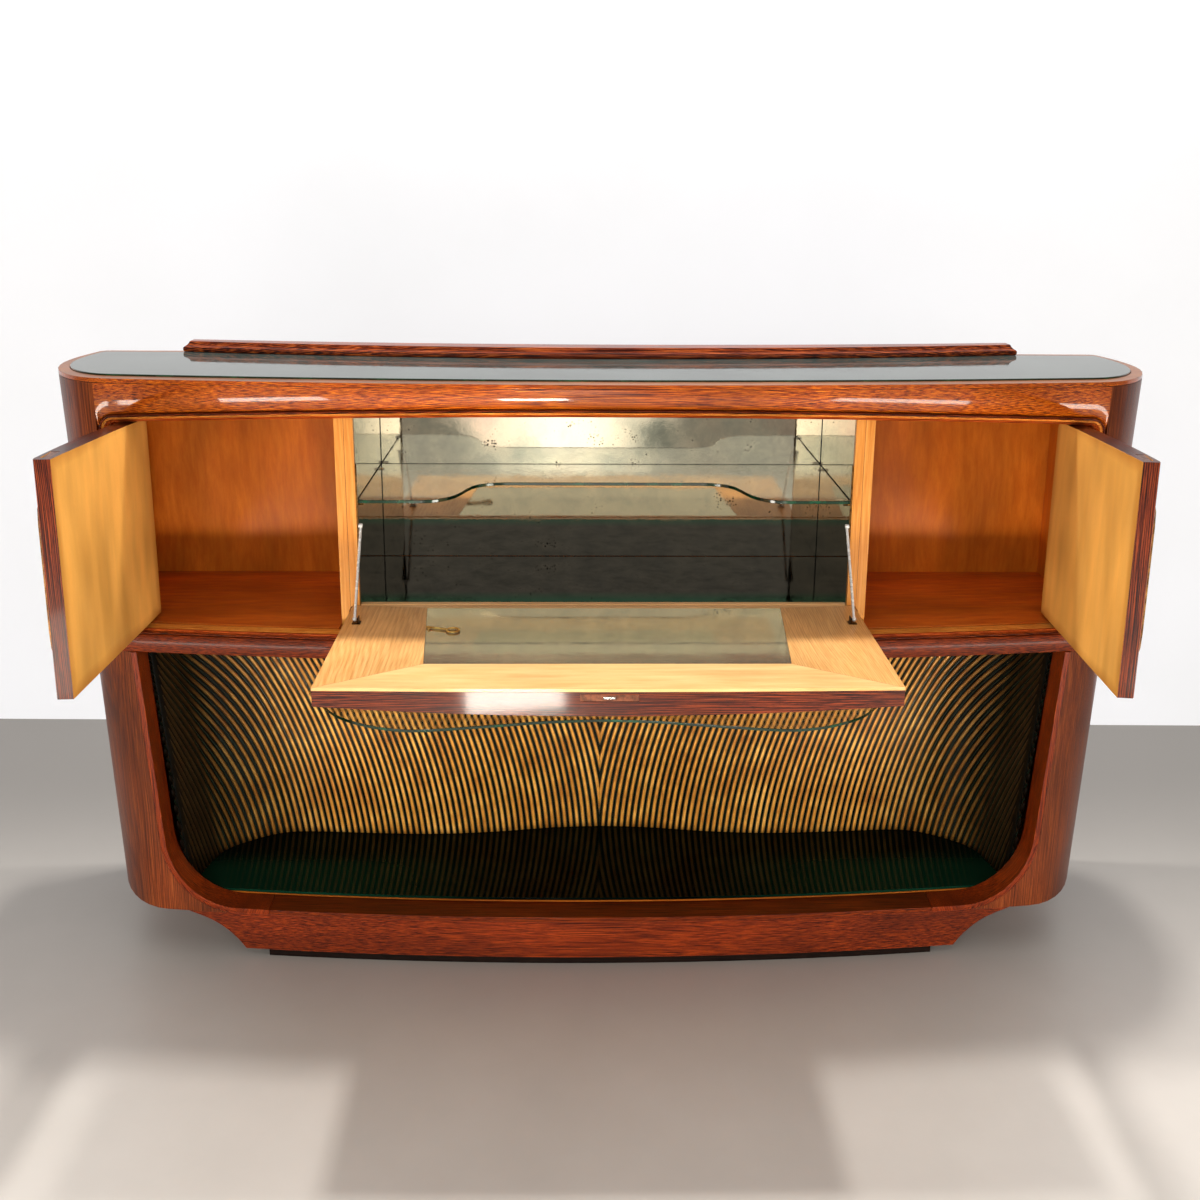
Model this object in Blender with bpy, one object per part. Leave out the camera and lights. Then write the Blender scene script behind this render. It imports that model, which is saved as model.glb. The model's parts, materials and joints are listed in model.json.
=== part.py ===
"""Wide bar cabinet with a drop flap, two doors and a fluted open niche.

All lengths are metres, +Z is up and the front faces -Y.  The cabinet stands on z = 0, and the flap
and both doors are open, as they are shown.
"""

import math

import bmesh
import bpy
from mathutils import Matrix, Vector

# Overall case
half_width = 1.003
case_depth = 0.402
rim_top = 1.1207
side_taper = math.radians(2.4)
front_sag = 0.0704
front_bow = front_sag / half_width ** 2
corner_across = 0.141
corner_along = 0.2407
side_radius = 0.68
back_radius = 0.028

# Fits
gap = 0.0003
running = 0.0004

# Plinth, base and bottom
plinth_height = 0.015
plinth_inset = 0.363
plinth_half = half_width - plinth_inset
plinth_setback = 0.004
base_block_reach = 0.032
base_block_half = plinth_half + base_block_reach
base_back_setback = 0.030
base_board_thickness = 0.018
apron_thickness = 0.018
apron_setback = 0.016
base_height = 0.0997
bottom_thickness = 0.0122
bottom_glass_thickness = 0.005

# Side shells, liner and lower niche
shell_thickness = 0.022
shell_back_inset = 0.068
shell_back_half = half_width - shell_back_inset
shell_clearance = 0.0015
stile_inset = 0.120
stile_half = half_width - stile_inset
stile_cut_depth = 0.25
reveal_width = 0.037
niche_half = stile_half - reveal_width
niche_top = 0.6213
niche_lean = 0.0643
niche_corner_x = 0.130
niche_corner_z = 0.140
liner_thickness = 0.0104
liner_depth = 0.055
liner_run = 0.216
liner_joint = niche_half - liner_run
niche_sill = base_height + 3 * gap + liner_thickness
shell_foot_run = 0.146
shell_foot_half = niche_half - shell_foot_run
shell_foot_overlap = 0.14
panel_thickness = 0.008
panel_flare = 0.0566
panel_turn_run = 0.146
shelf_glass = 0.006
lower_shelf_rise = 0.329
lower_shelf_z = niche_sill + lower_shelf_rise
lower_shelf_inset = 0.254
lower_shelf_half = niche_half - lower_shelf_inset

# Middle deck and upper opening
mid_rail_height = 0.0347
mid_rail_depth = 0.040
deck_rise = 0.0192
deck_thickness = 0.0255
deck_shoulder_setback = 0.0594
deck_corner_setback = 0.0674
deck_corner_cut = 0.006
floor_thickness = 0.0037
stile_overlap = 0.017
opening_half = stile_half - stile_overlap
top_rail_height = 0.0582
opening_crown = rim_top - top_rail_height
opening_sag = 0.0208
opening_arch = opening_sag / opening_half ** 2
moulding_width = 0.0135
moulding_depth = 0.028
moulding_corner = 0.025
mid_moulding_height = 0.0116
jamb_cover = 0.039
lining_half = opening_half + jamb_cover
lining_thickness = 0.006
jamb_width = 0.0365
jamb_setback = 0.0329
jamb_depth = 0.0345
jamb_notch = 0.069
back_lining = 0.0021
back_panel_thickness = 0.0164

# Top
rim_thickness = 0.008
rim_front_width = 0.035
rim_side_width = 0.020
rim_back_width = 0.036
top_glass_thickness = 0.006
top_glass_proud = 0.003
top_board_thickness = 0.0274
top_board_clearance = 0.001
rail_end_half = stile_half - gap
rail_roll = 0.010
rail_clearance = 0.001
crest_inset = 0.186
crest_half = half_width - crest_inset
crest_height = 0.020
crest_width = 0.060
crest_back_mid = case_depth - 0.057
crest_front_mid = crest_back_mid - crest_width
crest_back_end = case_depth - 0.002
crest_front_end = case_depth - 0.041
crest_ogee = 0.012

# Dividers and mirrored niche
divider_inner_face = 0.4428
divider_width = 0.0340
divider_seam = divider_inner_face + 0.0169
divider_outer_face = divider_inner_face + divider_width
divider_front = 0.071
divider_lip = 0.0087
mirror_thickness = 0.003
niche_floor_rise = 0.0377
threshold_depth = 0.0137
upper_shelf_rise = 0.191
upper_shelf_front = 0.083
cutout_front_half = divider_inner_face - 0.1428
cutout_back_half = cutout_front_half - 0.085
cutout_depth = 0.137

# Flap
flap_overlap = 0.0127
flap_half = divider_inner_face + flap_overlap
flap_length = 0.387
flap_thickness = 0.031
flap_belly = 0.014
flap_lining = 0.005
flap_pivot_y = 0.0555
flap_pivot_inset = 0.015
flap_frame_back = 0.1355
flap_frame_front = 0.1595
flap_mirror_half_back = flap_half - flap_frame_back
flap_mirror_half_front = flap_half - flap_frame_front
flap_mirror_back = 0.060
flap_mirror_front = -0.213
hinge_plate_thickness = 0.0015
hinge_pin_radius = 0.0025
bolt_half_width = 0.009
bolt_thickness = 0.004
bolt_length = 0.025
bolt_throw = 0.010
faceplate_half = 0.045
faceplate_height = 0.011
faceplate_thickness = 0.0015

peg_radius = 0.003
peg_length = 0.010

# Stays
stay_inset = 0.0063
stay_x = divider_inner_face - stay_inset
stay_radius = 0.0025
stay_ball = 0.0042
stay_pin_radius = 0.0016
stay_foot_y = -0.022
stay_pin_height = 0.0075
stay_track_y = 0.077
stay_top_rise = 0.1486
stay_stud_radius = 0.004
track_width = 0.0058
track_thickness = 0.002
track_bottom_rise = 0.096
track_top_rise = 0.261

# Doors
door_flap_gap = 0.0037
door_free_x = flap_half + door_flap_gap
door_hinge_clearance = 0.004
door_hinge_x = opening_half - door_hinge_clearance
door_face_y = 0.0705
door_slope = 0.0888
door_thickness = 0.028
door_belly = 0.004
door_clearance = 0.003
door_floor_clearance = 0.004
door_pivot_inset = 0.030
door_pivot_x = door_hinge_x - door_pivot_inset
door_pivot_depth = 0.014
door_pin_radius = 0.004
left_open = math.radians(86.2)
right_open = math.radians(81.8)
pull_width = 0.012
pull_height = 0.005
catch_length = 0.050

flap_reach = flap_length - flap_pivot_y - flap_pivot_inset
front_y = (flap_reach - case_depth) / 2.0
seam = gap + 0.0002

parts = bpy.data.collections.new("bar_cabinet")
cutters = bpy.data.collections.new("cutters")


def clear_scene():
    for item in list(bpy.data.objects):
        bpy.data.objects.remove(item, do_unlink=True)
    bpy.context.scene.collection.children.link(parts)
    bpy.context.scene.collection.children.link(cutters)


def finish(name, colour, roughness, metallic=0.0):
    made = bpy.data.materials.get(name) or bpy.data.materials.new(name)
    made.use_nodes = True
    shader = made.node_tree.nodes["Principled BSDF"]
    shader.inputs["Base Color"].default_value = (*colour, 1.0)
    shader.inputs["Roughness"].default_value = roughness
    shader.inputs["Metallic"].default_value = metallic
    return made


def rosewood():
    return finish("rosewood", (0.36, 0.10, 0.03), 0.25)


def dark_rosewood():
    return finish("dark_rosewood", (0.10, 0.025, 0.015), 0.3)


def mahogany():
    return finish("mahogany", (0.22, 0.06, 0.03), 0.35)


def maple():
    return finish("maple", (0.75, 0.45, 0.16), 0.35)


def lining_wood():
    return finish("lining_wood", (0.50, 0.18, 0.05), 0.4)


def gilt_wood():
    return finish("gilt_wood", (0.48, 0.26, 0.07), 0.35)


def clear_glass():
    return finish("clear_glass", (0.35, 0.55, 0.45), 0.05)


def dark_glass():
    return finish("dark_glass", (0.03, 0.08, 0.05), 0.05)


def top_glass_finish():
    return finish("grey_glass", (0.30, 0.36, 0.33), 0.06)


def mirror_glass():
    return finish("mirror_glass", (0.35, 0.40, 0.35), 0.08, 1.0)


def brass():
    return finish("brass", (0.62, 0.45, 0.18), 0.3, 1.0)


def chrome():
    return finish("chrome", (0.70, 0.70, 0.70), 0.12, 1.0)


def shift(points):
    """Moves points from the case frame, with y = 0 at the rim's front, to the part's frame."""
    return [(x, y + front_y, z) for x, y, z in points]


def make_object(name, mesh, material, collection=None):
    item = bpy.data.objects.new(name, mesh)
    (collection or parts).objects.link(item)
    if material:
        mesh.materials.append(material)
    else:
        item.hide_render = True
        item.display_type = "WIRE"
    return item


def mesh_of(build, name):
    work = bmesh.new()
    build(work)
    bmesh.ops.remove_doubles(work, verts=work.verts, dist=1e-6)
    bmesh.ops.recalc_face_normals(work, faces=work.faces)
    mesh = bpy.data.meshes.new(name)
    work.to_mesh(mesh)
    work.free()
    return mesh


def smooth(item, angle=35.0):
    item.data.shade_smooth()
    item.data.set_sharp_from_angle(angle=math.radians(angle))
    return item


def loft_mesh(name, rings):
    """Skins closed rings of equal length and caps both ends."""
    def build(work):
        rows = [[work.verts.new(point) for point in shift(ring)] for ring in rings]
        count = len(rows[0])
        for low, high in zip(rows, rows[1:]):
            for i in range(count):
                j = (i + 1) % count
                work.faces.new((low[i], low[j], high[j], high[i]))
        work.faces.new(list(reversed(rows[0])))
        work.faces.new(rows[-1])
    return mesh_of(build, name)


def loft(name, rings, material):
    return smooth(make_object(name, loft_mesh(name, rings), material))


def plate_mesh(name, outline, low, high, plane="xy"):
    """Extrudes a flat outline as a filled 2D curve, lying in the xy, xz or yz plane."""
    flat = bpy.data.curves.new(name, "CURVE")
    flat.dimensions = "2D"
    flat.fill_mode = "BOTH"
    flat.extrude = (high - low) / 2.0
    line = flat.splines.new("POLY")
    line.points.add(len(outline) - 1)
    for point, (u, v) in zip(line.points, outline):
        point.co = (u, v, 0.0, 1.0)
    line.use_cyclic_u = True
    drawn = bpy.data.objects.new(name, flat)
    bpy.context.scene.collection.objects.link(drawn)
    bpy.context.view_layer.update()
    mesh = bpy.data.meshes.new_from_object(drawn.evaluated_get(bpy.context.evaluated_depsgraph_get()))
    bpy.data.objects.remove(drawn, do_unlink=True)
    middle = (low + high) / 2.0
    columns = {
        "xy": ((1, 0, 0, 0), (0, 1, 0, front_y), (0, 0, 1, middle), (0, 0, 0, 1)),
        "xz": ((1, 0, 0, 0), (0, 0, 1, middle + front_y), (0, 1, 0, 0), (0, 0, 0, 1)),
        "yz": ((0, 0, 1, middle), (1, 0, 0, front_y), (0, 1, 0, 0), (0, 0, 0, 1)),
    }
    mesh.transform(Matrix(columns[plane]))
    work = bmesh.new()
    work.from_mesh(mesh)
    bmesh.ops.remove_doubles(work, verts=work.verts, dist=1e-6)
    bmesh.ops.recalc_face_normals(work, faces=work.faces)
    work.to_mesh(mesh)
    work.free()
    return mesh


def plate(name, outline, low, high, material, plane="xy"):
    return smooth(make_object(name, plate_mesh(name, outline, low, high, plane), material))


def box_mesh(name, low, high):
    low, high = Vector(low), Vector(high)
    middle = (low + high) / 2.0 + Vector((0.0, front_y, 0.0))
    size = high - low
    place = Matrix.Translation(middle) @ Matrix.Diagonal((*size, 1.0))
    return mesh_of(lambda work: bmesh.ops.create_cube(work, size=1.0, matrix=place), name)


def box(name, low, high, material):
    return make_object(name, box_mesh(name, low, high), material)


def rod_mesh(name, start, end, radius, sides=16):
    start, end = (Vector(point) for point in shift([start, end]))
    turn = (end - start).to_track_quat("Z", "Y").to_matrix().to_4x4()
    place = Matrix.Translation((start + end) / 2.0) @ turn

    def build(work):
        bmesh.ops.create_cone(
            work, cap_ends=True, segments=sides, radius1=radius, radius2=radius,
            depth=(end - start).length, matrix=place)
    return mesh_of(build, name)


def ball_mesh(name, centre, radius):
    place = Matrix.Translation(shift([centre])[0])
    return mesh_of(lambda work: bmesh.ops.create_uvsphere(
        work, u_segments=14, v_segments=9, radius=radius, matrix=place), name)


def mirrored(mesh, name):
    copy = mesh.copy()
    copy.name = name
    copy.transform(Matrix.Diagonal((-1.0, 1.0, 1.0, 1.0)))
    copy.flip_normals()
    return copy


def sided(mesh, side, name):
    return mesh if side > 0 else mirrored(mesh, name)


def carve(item, cutter_mesh, operation="DIFFERENCE"):
    cutter = make_object(item.name + "_cutter", cutter_mesh, None, cutters)
    step = item.modifiers.new("carve", "BOOLEAN")
    step.operation = operation
    step.object = cutter
    step.solver = "EXACT"
    return item


def steps(low, high, count):
    return [low + (high - low) * i / count for i in range(count + 1)]


def curve_through(points, per_span=4):
    """Points of a Catmull-Rom curve through the given points."""
    ends = [points[0]] + list(points) + [points[-1]]
    made = []
    for a, b, c, d in zip(ends, ends[1:], ends[2:], ends[3:]):
        for i in range(per_span):
            t = i / per_span
            made.append(tuple(
                0.5 * (2 * q + (r - p) * t + (2 * p - 5 * q + 4 * r - s) * t * t
                       + (3 * q - p - 3 * r + s) * t ** 3)
                for p, q, r, s in zip(a, b, c, d)))
    made.append(tuple(points[-1]))
    return made


shell_top = rim_top - rim_thickness - gap
shell_bottom = base_height + 2 * gap
mid_rail_top = niche_top + mid_rail_height
mid_moulding_bottom = mid_rail_top + gap
mid_moulding_top = mid_moulding_bottom + mid_moulding_height
bottom_glass_z = shell_bottom + bottom_thickness + gap
deck_bottom = niche_top + deck_rise
deck_top = deck_bottom + deck_thickness
floor_bottom = deck_top + gap
floor_top = floor_bottom + floor_thickness
niche_floor_top = floor_bottom + niche_floor_rise
upper_shelf_z = niche_floor_top + upper_shelf_rise
stay_top_z = niche_floor_top + stay_top_rise
track_bottom = niche_floor_top + track_bottom_rise
track_top = niche_floor_top + track_top_rise
door_bottom = floor_top + door_floor_clearance
board_top = rim_top + top_glass_proud - top_glass_thickness - gap
board_bottom = board_top - top_board_thickness
ceiling = board_bottom - gap
back_inner = case_depth - back_panel_thickness
lining_back = back_inner - gap - back_lining
inside_back = lining_back - gap
flap_pivot_z = niche_floor_top - flap_pivot_inset
flap_back = flap_pivot_y + flap_pivot_inset
bolt_z = niche_floor_top - flap_thickness / 2 + 0.0005
corner_start = opening_half + moulding_width - moulding_corner


def narrowing(z):
    """Width at height z as a share of the width under the rim."""
    return 1.0 - (shell_top - z) * math.tan(side_taper) / half_width


def front_at(x, z=shell_top):
    """Distance of the bowed front behind the rim's foremost point."""
    return front_bow * (x / narrowing(z)) ** 2


def bend(x, depth, rear):
    """Bows the plan's front; the effect fades to nothing at the straight rear line."""
    return (x, depth + front_bow * x * x * (1.0 - depth / rear))


def half_outline(front=0.0, side=0.0, back=0.0):
    """Right half of the plan, from the front's centre round to the back, inset on each side."""
    centre_x = half_width - corner_across
    across, along = corner_across - side, corner_along - front
    points = [(x, front) for x in steps(0.0, centre_x, 10)][:-1]
    for turn in steps(-math.pi / 2, 0.0, 10):
        points.append((centre_x + across * math.cos(turn), corner_along + along * math.sin(turn)))
    radius = max(back_radius - min(side, back), 0.004)
    arc_centre = half_width - side_radius
    reach = case_depth - back - radius
    for depth in steps(corner_along, reach, 5)[1:]:
        swing = math.sqrt((side_radius - side) ** 2 - (depth - corner_along) ** 2)
        points.append((arc_centre + swing, depth))
    edge = points[-1][0]
    for t in steps(0.0, 1.0, 5)[1:]:
        keep = (1.0 - t) ** 2
        points.append((edge - radius * t * t, reach + radius * (1.0 - keep)))
    return [bend(x, depth, case_depth - back) for x, depth in points]


side_joint = 22
corner_joint = 29


def full_outline(front, side, back):
    right = half_outline(front, side, back)
    left = [(-x, y) for x, y in reversed(right[1:])]
    return right + left


def strip(outer, inner):
    return list(outer) + list(reversed(inner))


def trim(points, start=0.0, end=0.0):
    """Shortens a line of points at its ends."""
    made = [Vector(point) for point in points]
    if start:
        made[0] += (made[1] - made[0]).normalized() * start
    if end:
        made[-1] += (made[-2] - made[-1]).normalized() * end
    return [tuple(point) for point in made]


def niche_outline(outward=0.0, count=10):
    """Right half of the lower opening in x and z, from the sill's centre to the top."""
    corner_z = niche_sill + niche_corner_z
    corner_x = niche_half - (niche_top - corner_z) * niche_lean - niche_corner_x
    points = [(liner_joint, niche_sill - outward)]
    for turn in steps(-math.pi / 2, 0.0, count):
        points.append((corner_x + (niche_corner_x + outward) * math.cos(turn),
                       corner_z + (niche_corner_z + outward) * math.sin(turn)))
    points.append((niche_half + outward, niche_top))
    return points


def opening_top(x):
    return opening_crown - opening_arch * x * x


def rail_bottom(x):
    """Lower edge of the top rail: arched, then rounded down at the corners."""
    x = abs(x)
    radius = moulding_corner + rail_clearance
    if x <= corner_start:
        return opening_top(x) + moulding_width + rail_clearance
    reach = min(x - corner_start, radius * 0.985)
    drop = radius - math.sqrt(radius ** 2 - reach ** 2)
    return opening_top(corner_start) + moulding_width + rail_clearance - drop


def closed_face(x):
    """Plane of the closed flap's and doors' inner faces."""
    return door_face_y + max(0.0, abs(x) - door_free_x) * door_slope


def panel_line():
    """Front face of the fluted panel at its foot, right half: shares of the niche's half width and
    of the case's depth, from the middle out."""
    shares = [(0.0, 0.8383), (0.1182, 0.8234), (0.2600, 0.7811), (0.4137, 0.7587), (0.5674, 0.7711),
              (0.7210, 0.7910), (0.7920, 0.7711), (0.8570, 0.6965), (0.9078, 0.5970), (0.9267, 0.4726),
              (0.9397, 0.3234)]
    return curve_through([(x * niche_half, y * case_depth) for x, y in shares], 3)


def panel_depth(x):
    """Depth of the fluted panel's front face at distance x from the middle."""
    line = panel_line()
    for (x0, y0), (x1, y1) in zip(line, line[1:]):
        if x0 <= x <= x1:
            return y0 + (y1 - y0) * (x - x0) / (x1 - x0)
    return line[-1][1]


def panel_scale(z):
    return 1.0 + panel_flare * (z - niche_sill) / (niche_top - niche_sill)


def side_shells():
    start = shell_foot_half - shell_foot_overlap
    outer = [p for p in half_outline() if p[0] > start][:corner_joint + 1]
    inner = [p for p in half_outline(shell_thickness, shell_thickness, shell_thickness) if p[0] > start]
    outer[-1] = (shell_back_half, case_depth)
    inner[-1] = (shell_back_half, case_depth - shell_thickness)
    for side, name in ((-1, "left_side_shell"), (1, "right_side_shell")):
        mesh = plate_mesh(name, strip(outer, inner), shell_bottom, shell_top)
        for vertex in mesh.vertices:
            vertex.co.x *= narrowing(vertex.co.z)
        item = smooth(make_object(name, sided(mesh, side, name), mahogany()))
        edge = niche_outline(liner_thickness + gap)
        edge = [p for p in edge if p[0] > shell_foot_half] + [(stile_half, niche_top - gap)]
        middle = start / 2.0
        edge += [(stile_half, rim_top), (middle, rim_top), (middle, shell_bottom / 2.0),
                 (shell_foot_half, shell_bottom / 2.0)]
        cutter = plate_mesh(name, edge, -case_depth, stile_cut_depth, "xz")
        carve(item, sided(cutter, side, name))


def rim():
    outer = half_outline()
    inner = half_outline(rim_front_width, rim_side_width, rim_back_width)
    low, high = rim_top - rim_thickness, rim_top
    outer_front = trim(outer[:side_joint + 1], 0.0, gap / 2)
    inner_front = trim(inner[:side_joint + 1], 0.0, gap / 2)
    whole_outer = [(-x, y) for x, y in reversed(outer_front[1:])] + outer_front
    whole_inner = [(-x, y) for x, y in reversed(inner_front[1:])] + inner_front
    plate("rim_front", strip(whole_outer, whole_inner), low, high, rosewood())
    corner = strip(trim(outer[side_joint:corner_joint + 1], gap / 2, gap / 2),
                   trim(inner[side_joint:corner_joint + 1], gap / 2, gap / 2))
    for side, name in ((-1, "rim_left_corner"), (1, "rim_right_corner")):
        mesh = plate_mesh(name, corner, low, high)
        smooth(make_object(name, sided(mesh, side, name), rosewood()))
    x_outer, y_outer = outer[corner_joint]
    x_inner, y_inner = inner[corner_joint]
    x_outer -= gap / 2
    x_inner -= gap / 2
    back = [(-x_outer, y_outer), (x_outer, y_outer), (x_inner, y_inner), (-x_inner, y_inner)]
    plate("rim_back", back, low, high, rosewood())


def top_panels():
    board = full_outline(door_face_y + top_board_clearance, shell_thickness + shell_clearance,
                         rim_back_width + seam)
    plate("top_board", board, board_bottom, board_top, lining_wood())
    glass = full_outline(rim_front_width + seam, rim_side_width + seam, rim_back_width + seam)
    low = board_top + gap
    plate("top_glass", glass, low, low + top_glass_thickness, top_glass_finish())


def crest():
    """Back rail arched in plan: a rounded nose at the foot, then an ogee in to the flat top."""
    profile = [(0.0, 0.10), (0.15, 0.02), (0.32, 0.0), (0.46, 0.08), (0.55, 0.35), (0.66, 0.60),
               (0.82, 0.82), (0.94, 0.90), (1.0, 1.0)]
    base = board_top + 2 * gap + top_glass_thickness
    rings = []
    for rise, inset in profile:
        drawn_in = inset * crest_ogee
        half = crest_half - drawn_in
        z = base + rise * crest_height
        front = [(x, crest_front_mid + drawn_in + (crest_front_end - crest_front_mid)
                  * (x / crest_half) ** 2, z) for x in steps(-half, half, 24)]
        rear = [(x, crest_back_mid + (crest_back_end - crest_back_mid) * (x / crest_half) ** 2, z)
                for x in steps(half, -half, 24)]
        rings.append(front + rear)
    loft("crest_rail", rings, rosewood())


def top_rail():
    rings = []
    right = steps(0.07, door_free_x, 5) + steps(door_free_x, corner_start, 6)[1:]
    radius = moulding_corner + rail_clearance
    right += [corner_start + radius * math.sin(turn) for turn in steps(0.0, math.radians(80), 6)[1:]]
    right.append(rail_end_half)
    for x in [-x for x in reversed(right)] + right:
        f = front_at(x)
        low = rail_bottom(x)
        rear_low = min(opening_top(x) + 2 * gap, low - 0.001)
        rear = closed_face(x) - gap
        roll = [(x, f + rail_roll * (1.0 - math.cos(t)), shell_top - (shell_top - low) * math.sin(t))
                for t in steps(0.0, math.pi / 2, 6)]
        rings.append(roll + [(x, f + moulding_depth + seam, low), (x, f + moulding_depth + seam, rear_low),
                             (x, rear, rear_low), (x, rear, shell_top)])
    item = loft("top_rail", rings, rosewood())
    slot_y = flap_pivot_y + bolt_z - flap_pivot_z
    half = bolt_half_width + 2 * running
    thick = bolt_thickness / 2 + 2 * running
    carve(item, box_mesh("mortise", (-half, slot_y - thick, opening_crown - 0.004),
                         (half, slot_y + thick, opening_crown + bolt_throw + 0.002)))
    return item


def moulding_section():
    """Bead, groove, thin bead and cove, as pairs of width share and depth from outside in."""
    return [(0.0, 0.003), (0.12, 0.002), (0.30, 0.004), (0.36, 0.0065), (0.42, 0.0075), (0.50, 0.006),
            (0.58, 0.0075), (0.78, 0.011), (1.0, 0.015), (1.0, moulding_depth), (0.0, moulding_depth)]


def opening_moulding():
    corner_x = corner_start
    corner_top = opening_top(corner_x) + moulding_width
    corner_z = corner_top - moulding_corner
    inner_radius = moulding_corner - moulding_width
    leg = mid_moulding_top + gap
    path = [((-opening_half - moulding_width, leg), (-opening_half, leg))]
    turns = steps(math.pi, math.pi / 2, 6)
    left = [((-corner_x + moulding_corner * math.cos(t), corner_z + moulding_corner * math.sin(t)),
             (-corner_x + inner_radius * math.cos(t), corner_z + inner_radius * math.sin(t)))
            for t in turns]
    straight = corner_start - moulding_corner - 0.0095
    top = [((x, opening_top(x) + moulding_width), (x, opening_top(x)))
           for x in steps(-straight, straight, 20)]
    right = [((-a[0], a[1]), (-b[0], b[1])) for a, b in reversed(left)]
    path += left + top + right + [((-path[0][0][0], leg), (-path[0][1][0], leg))]
    rings = []
    for outer, inner in path:
        ring = []
        for share, depth in moulding_section():
            x = outer[0] + (inner[0] - outer[0]) * share
            z = outer[1] + (inner[1] - outer[1]) * share
            ring.append((x, front_at(x) + depth, z))
        rings.append(ring)
    loft("opening_moulding", rings, dark_rosewood())


def middle_members():
    rings = []
    for x in steps(-rail_end_half, rail_end_half, 24):
        f = front_at(x, niche_top)
        rings.append([(x, f + 0.002, niche_top), (x, f, niche_top + 0.004), (x, f, mid_rail_top - 0.004),
                      (x, f + 0.002, mid_rail_top), (x, f + mid_rail_depth, mid_rail_top),
                      (x, f + mid_rail_depth, niche_top)])
    loft("mid_rail", rings, rosewood())
    rings = []
    low, high = mid_moulding_bottom, mid_moulding_top
    end = opening_half + moulding_width
    for x in steps(-end, end, 24):
        f = front_at(x, low)
        rings.append([(x, f + 0.004, low), (x, f + 0.002, low + 0.002), (x, f + 0.004, low + 0.0045),
                      (x, f + 0.0075, low + 0.0052), (x, f + 0.0095, low + 0.0078),
                      (x, f + 0.012, low + 0.0085), (x, f + 0.020, high),
                      (x, f + moulding_depth, high), (x, f + moulding_depth, low)])
    loft("mid_moulding", rings, dark_rosewood())


def deck_outline(front_gap, start):
    reach = opening_half + door_hinge_clearance
    edge = [(x, front_at(x, niche_top) + front_gap) for x in steps(start, reach, 10)]
    end = lining_half + lining_thickness
    stile = front_at(stile_half)
    return edge + [(end - deck_corner_cut, stile + deck_shoulder_setback),
                   (end, stile + deck_corner_setback), (end, inside_back)]


def deck_and_floors():
    right = deck_outline(mid_rail_depth + seam, 0.0)
    left = [(-x, y) for x, y in reversed(right[1:])]
    plate("mid_deck", right + left, deck_bottom, deck_top, lining_wood())
    start = divider_outer_face + seam
    floor = deck_outline(moulding_depth + seam + 0.002, start) + [(start, inside_back)]
    floors = []
    for side, name in ((-1, "left_compartment_floor"), (1, "right_compartment_floor")):
        mesh = plate_mesh(name, floor, floor_bottom, floor_top)
        floors.append(make_object(name, sided(mesh, side, name), lining_wood()))
    return floors


def compartment_linings():
    """Jamb post and side lining of each compartment, one joined piece."""
    inner, outer = lining_half, lining_half + lining_thickness
    post = lining_half - jamb_width
    jamb_front = front_at(stile_half) + jamb_setback
    jamb_back = jamb_front + jamb_depth
    plan = [(post, jamb_front), (stile_half, jamb_front + 0.001), (stile_half + 0.015, jamb_front + 0.0195),
            (outer, jamb_front + 0.0385), (outer, inside_back), (inner, inside_back),
            (inner, jamb_back), (post, jamb_back)]
    post_top = rail_bottom(rail_end_half) - 0.0025
    for side, name in ((-1, "left_compartment_lining"), (1, "right_compartment_lining")):
        mesh = plate_mesh(name, plan, floor_top + gap, ceiling)
        item = make_object(name, sided(mesh, side, name), lining_wood())
        notch = box_mesh(name, (post - jamb_notch, jamb_front / 2.0, post_top),
                         (inner - running, jamb_back + 0.018, rim_top))
        carve(item, sided(notch, side, name))


def backs():
    low, high = deck_bottom, ceiling
    half = lining_half + lining_thickness
    box("inner_back", (-half, lining_back, low), (half, lining_back + back_lining, high), lining_wood())
    bottom, top = shell_bottom, shell_top
    wide, narrow = (shell_back_half * narrowing(z) - seam for z in (top, bottom))
    outline = [(-narrow, bottom), (narrow, bottom), (wide, top), (-wide, top)]
    plate("back_panel", outline, back_inner, case_depth, lining_wood(), "xz")


def dividers():
    """Upright board on each side of the niche, with the track that the stay's stud follows."""
    lip_back = divider_front + divider_lip
    mirror_face = divider_inner_face + mirror_thickness + gap
    step_back = closed_face(divider_outer_face) + 0.0005
    plan = [(divider_inner_face, divider_front), (divider_seam, divider_front),
            (divider_seam, step_back), (divider_outer_face, step_back),
            (divider_outer_face, inside_back), (mirror_face, inside_back),
            (mirror_face, lip_back), (divider_inner_face, lip_back)]
    track = box_mesh("track", (divider_inner_face - gap - track_thickness, stay_track_y - track_width / 2,
                               track_bottom),
                     (divider_inner_face + 0.001, stay_track_y + track_width / 2 - 0.0004, track_top))
    sweep = math.hypot(flap_pivot_inset, flap_pivot_inset) + 0.0009
    for side, word in ((-1, "left"), (1, "right")):
        name = word + "_divider"
        mesh = plate_mesh(name, plan, floor_bottom, ceiling)
        item = make_object(name, sided(mesh, side, name), maple())
        recess = rod_mesh(name, (divider_inner_face - 0.002, flap_pivot_y, flap_pivot_z),
                          (flap_half + 0.0008, flap_pivot_y, flap_pivot_z), sweep, 32)
        carve(item, sided(recess, side, name))
        carve(item, sided(track, side, name), "UNION")


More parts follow.
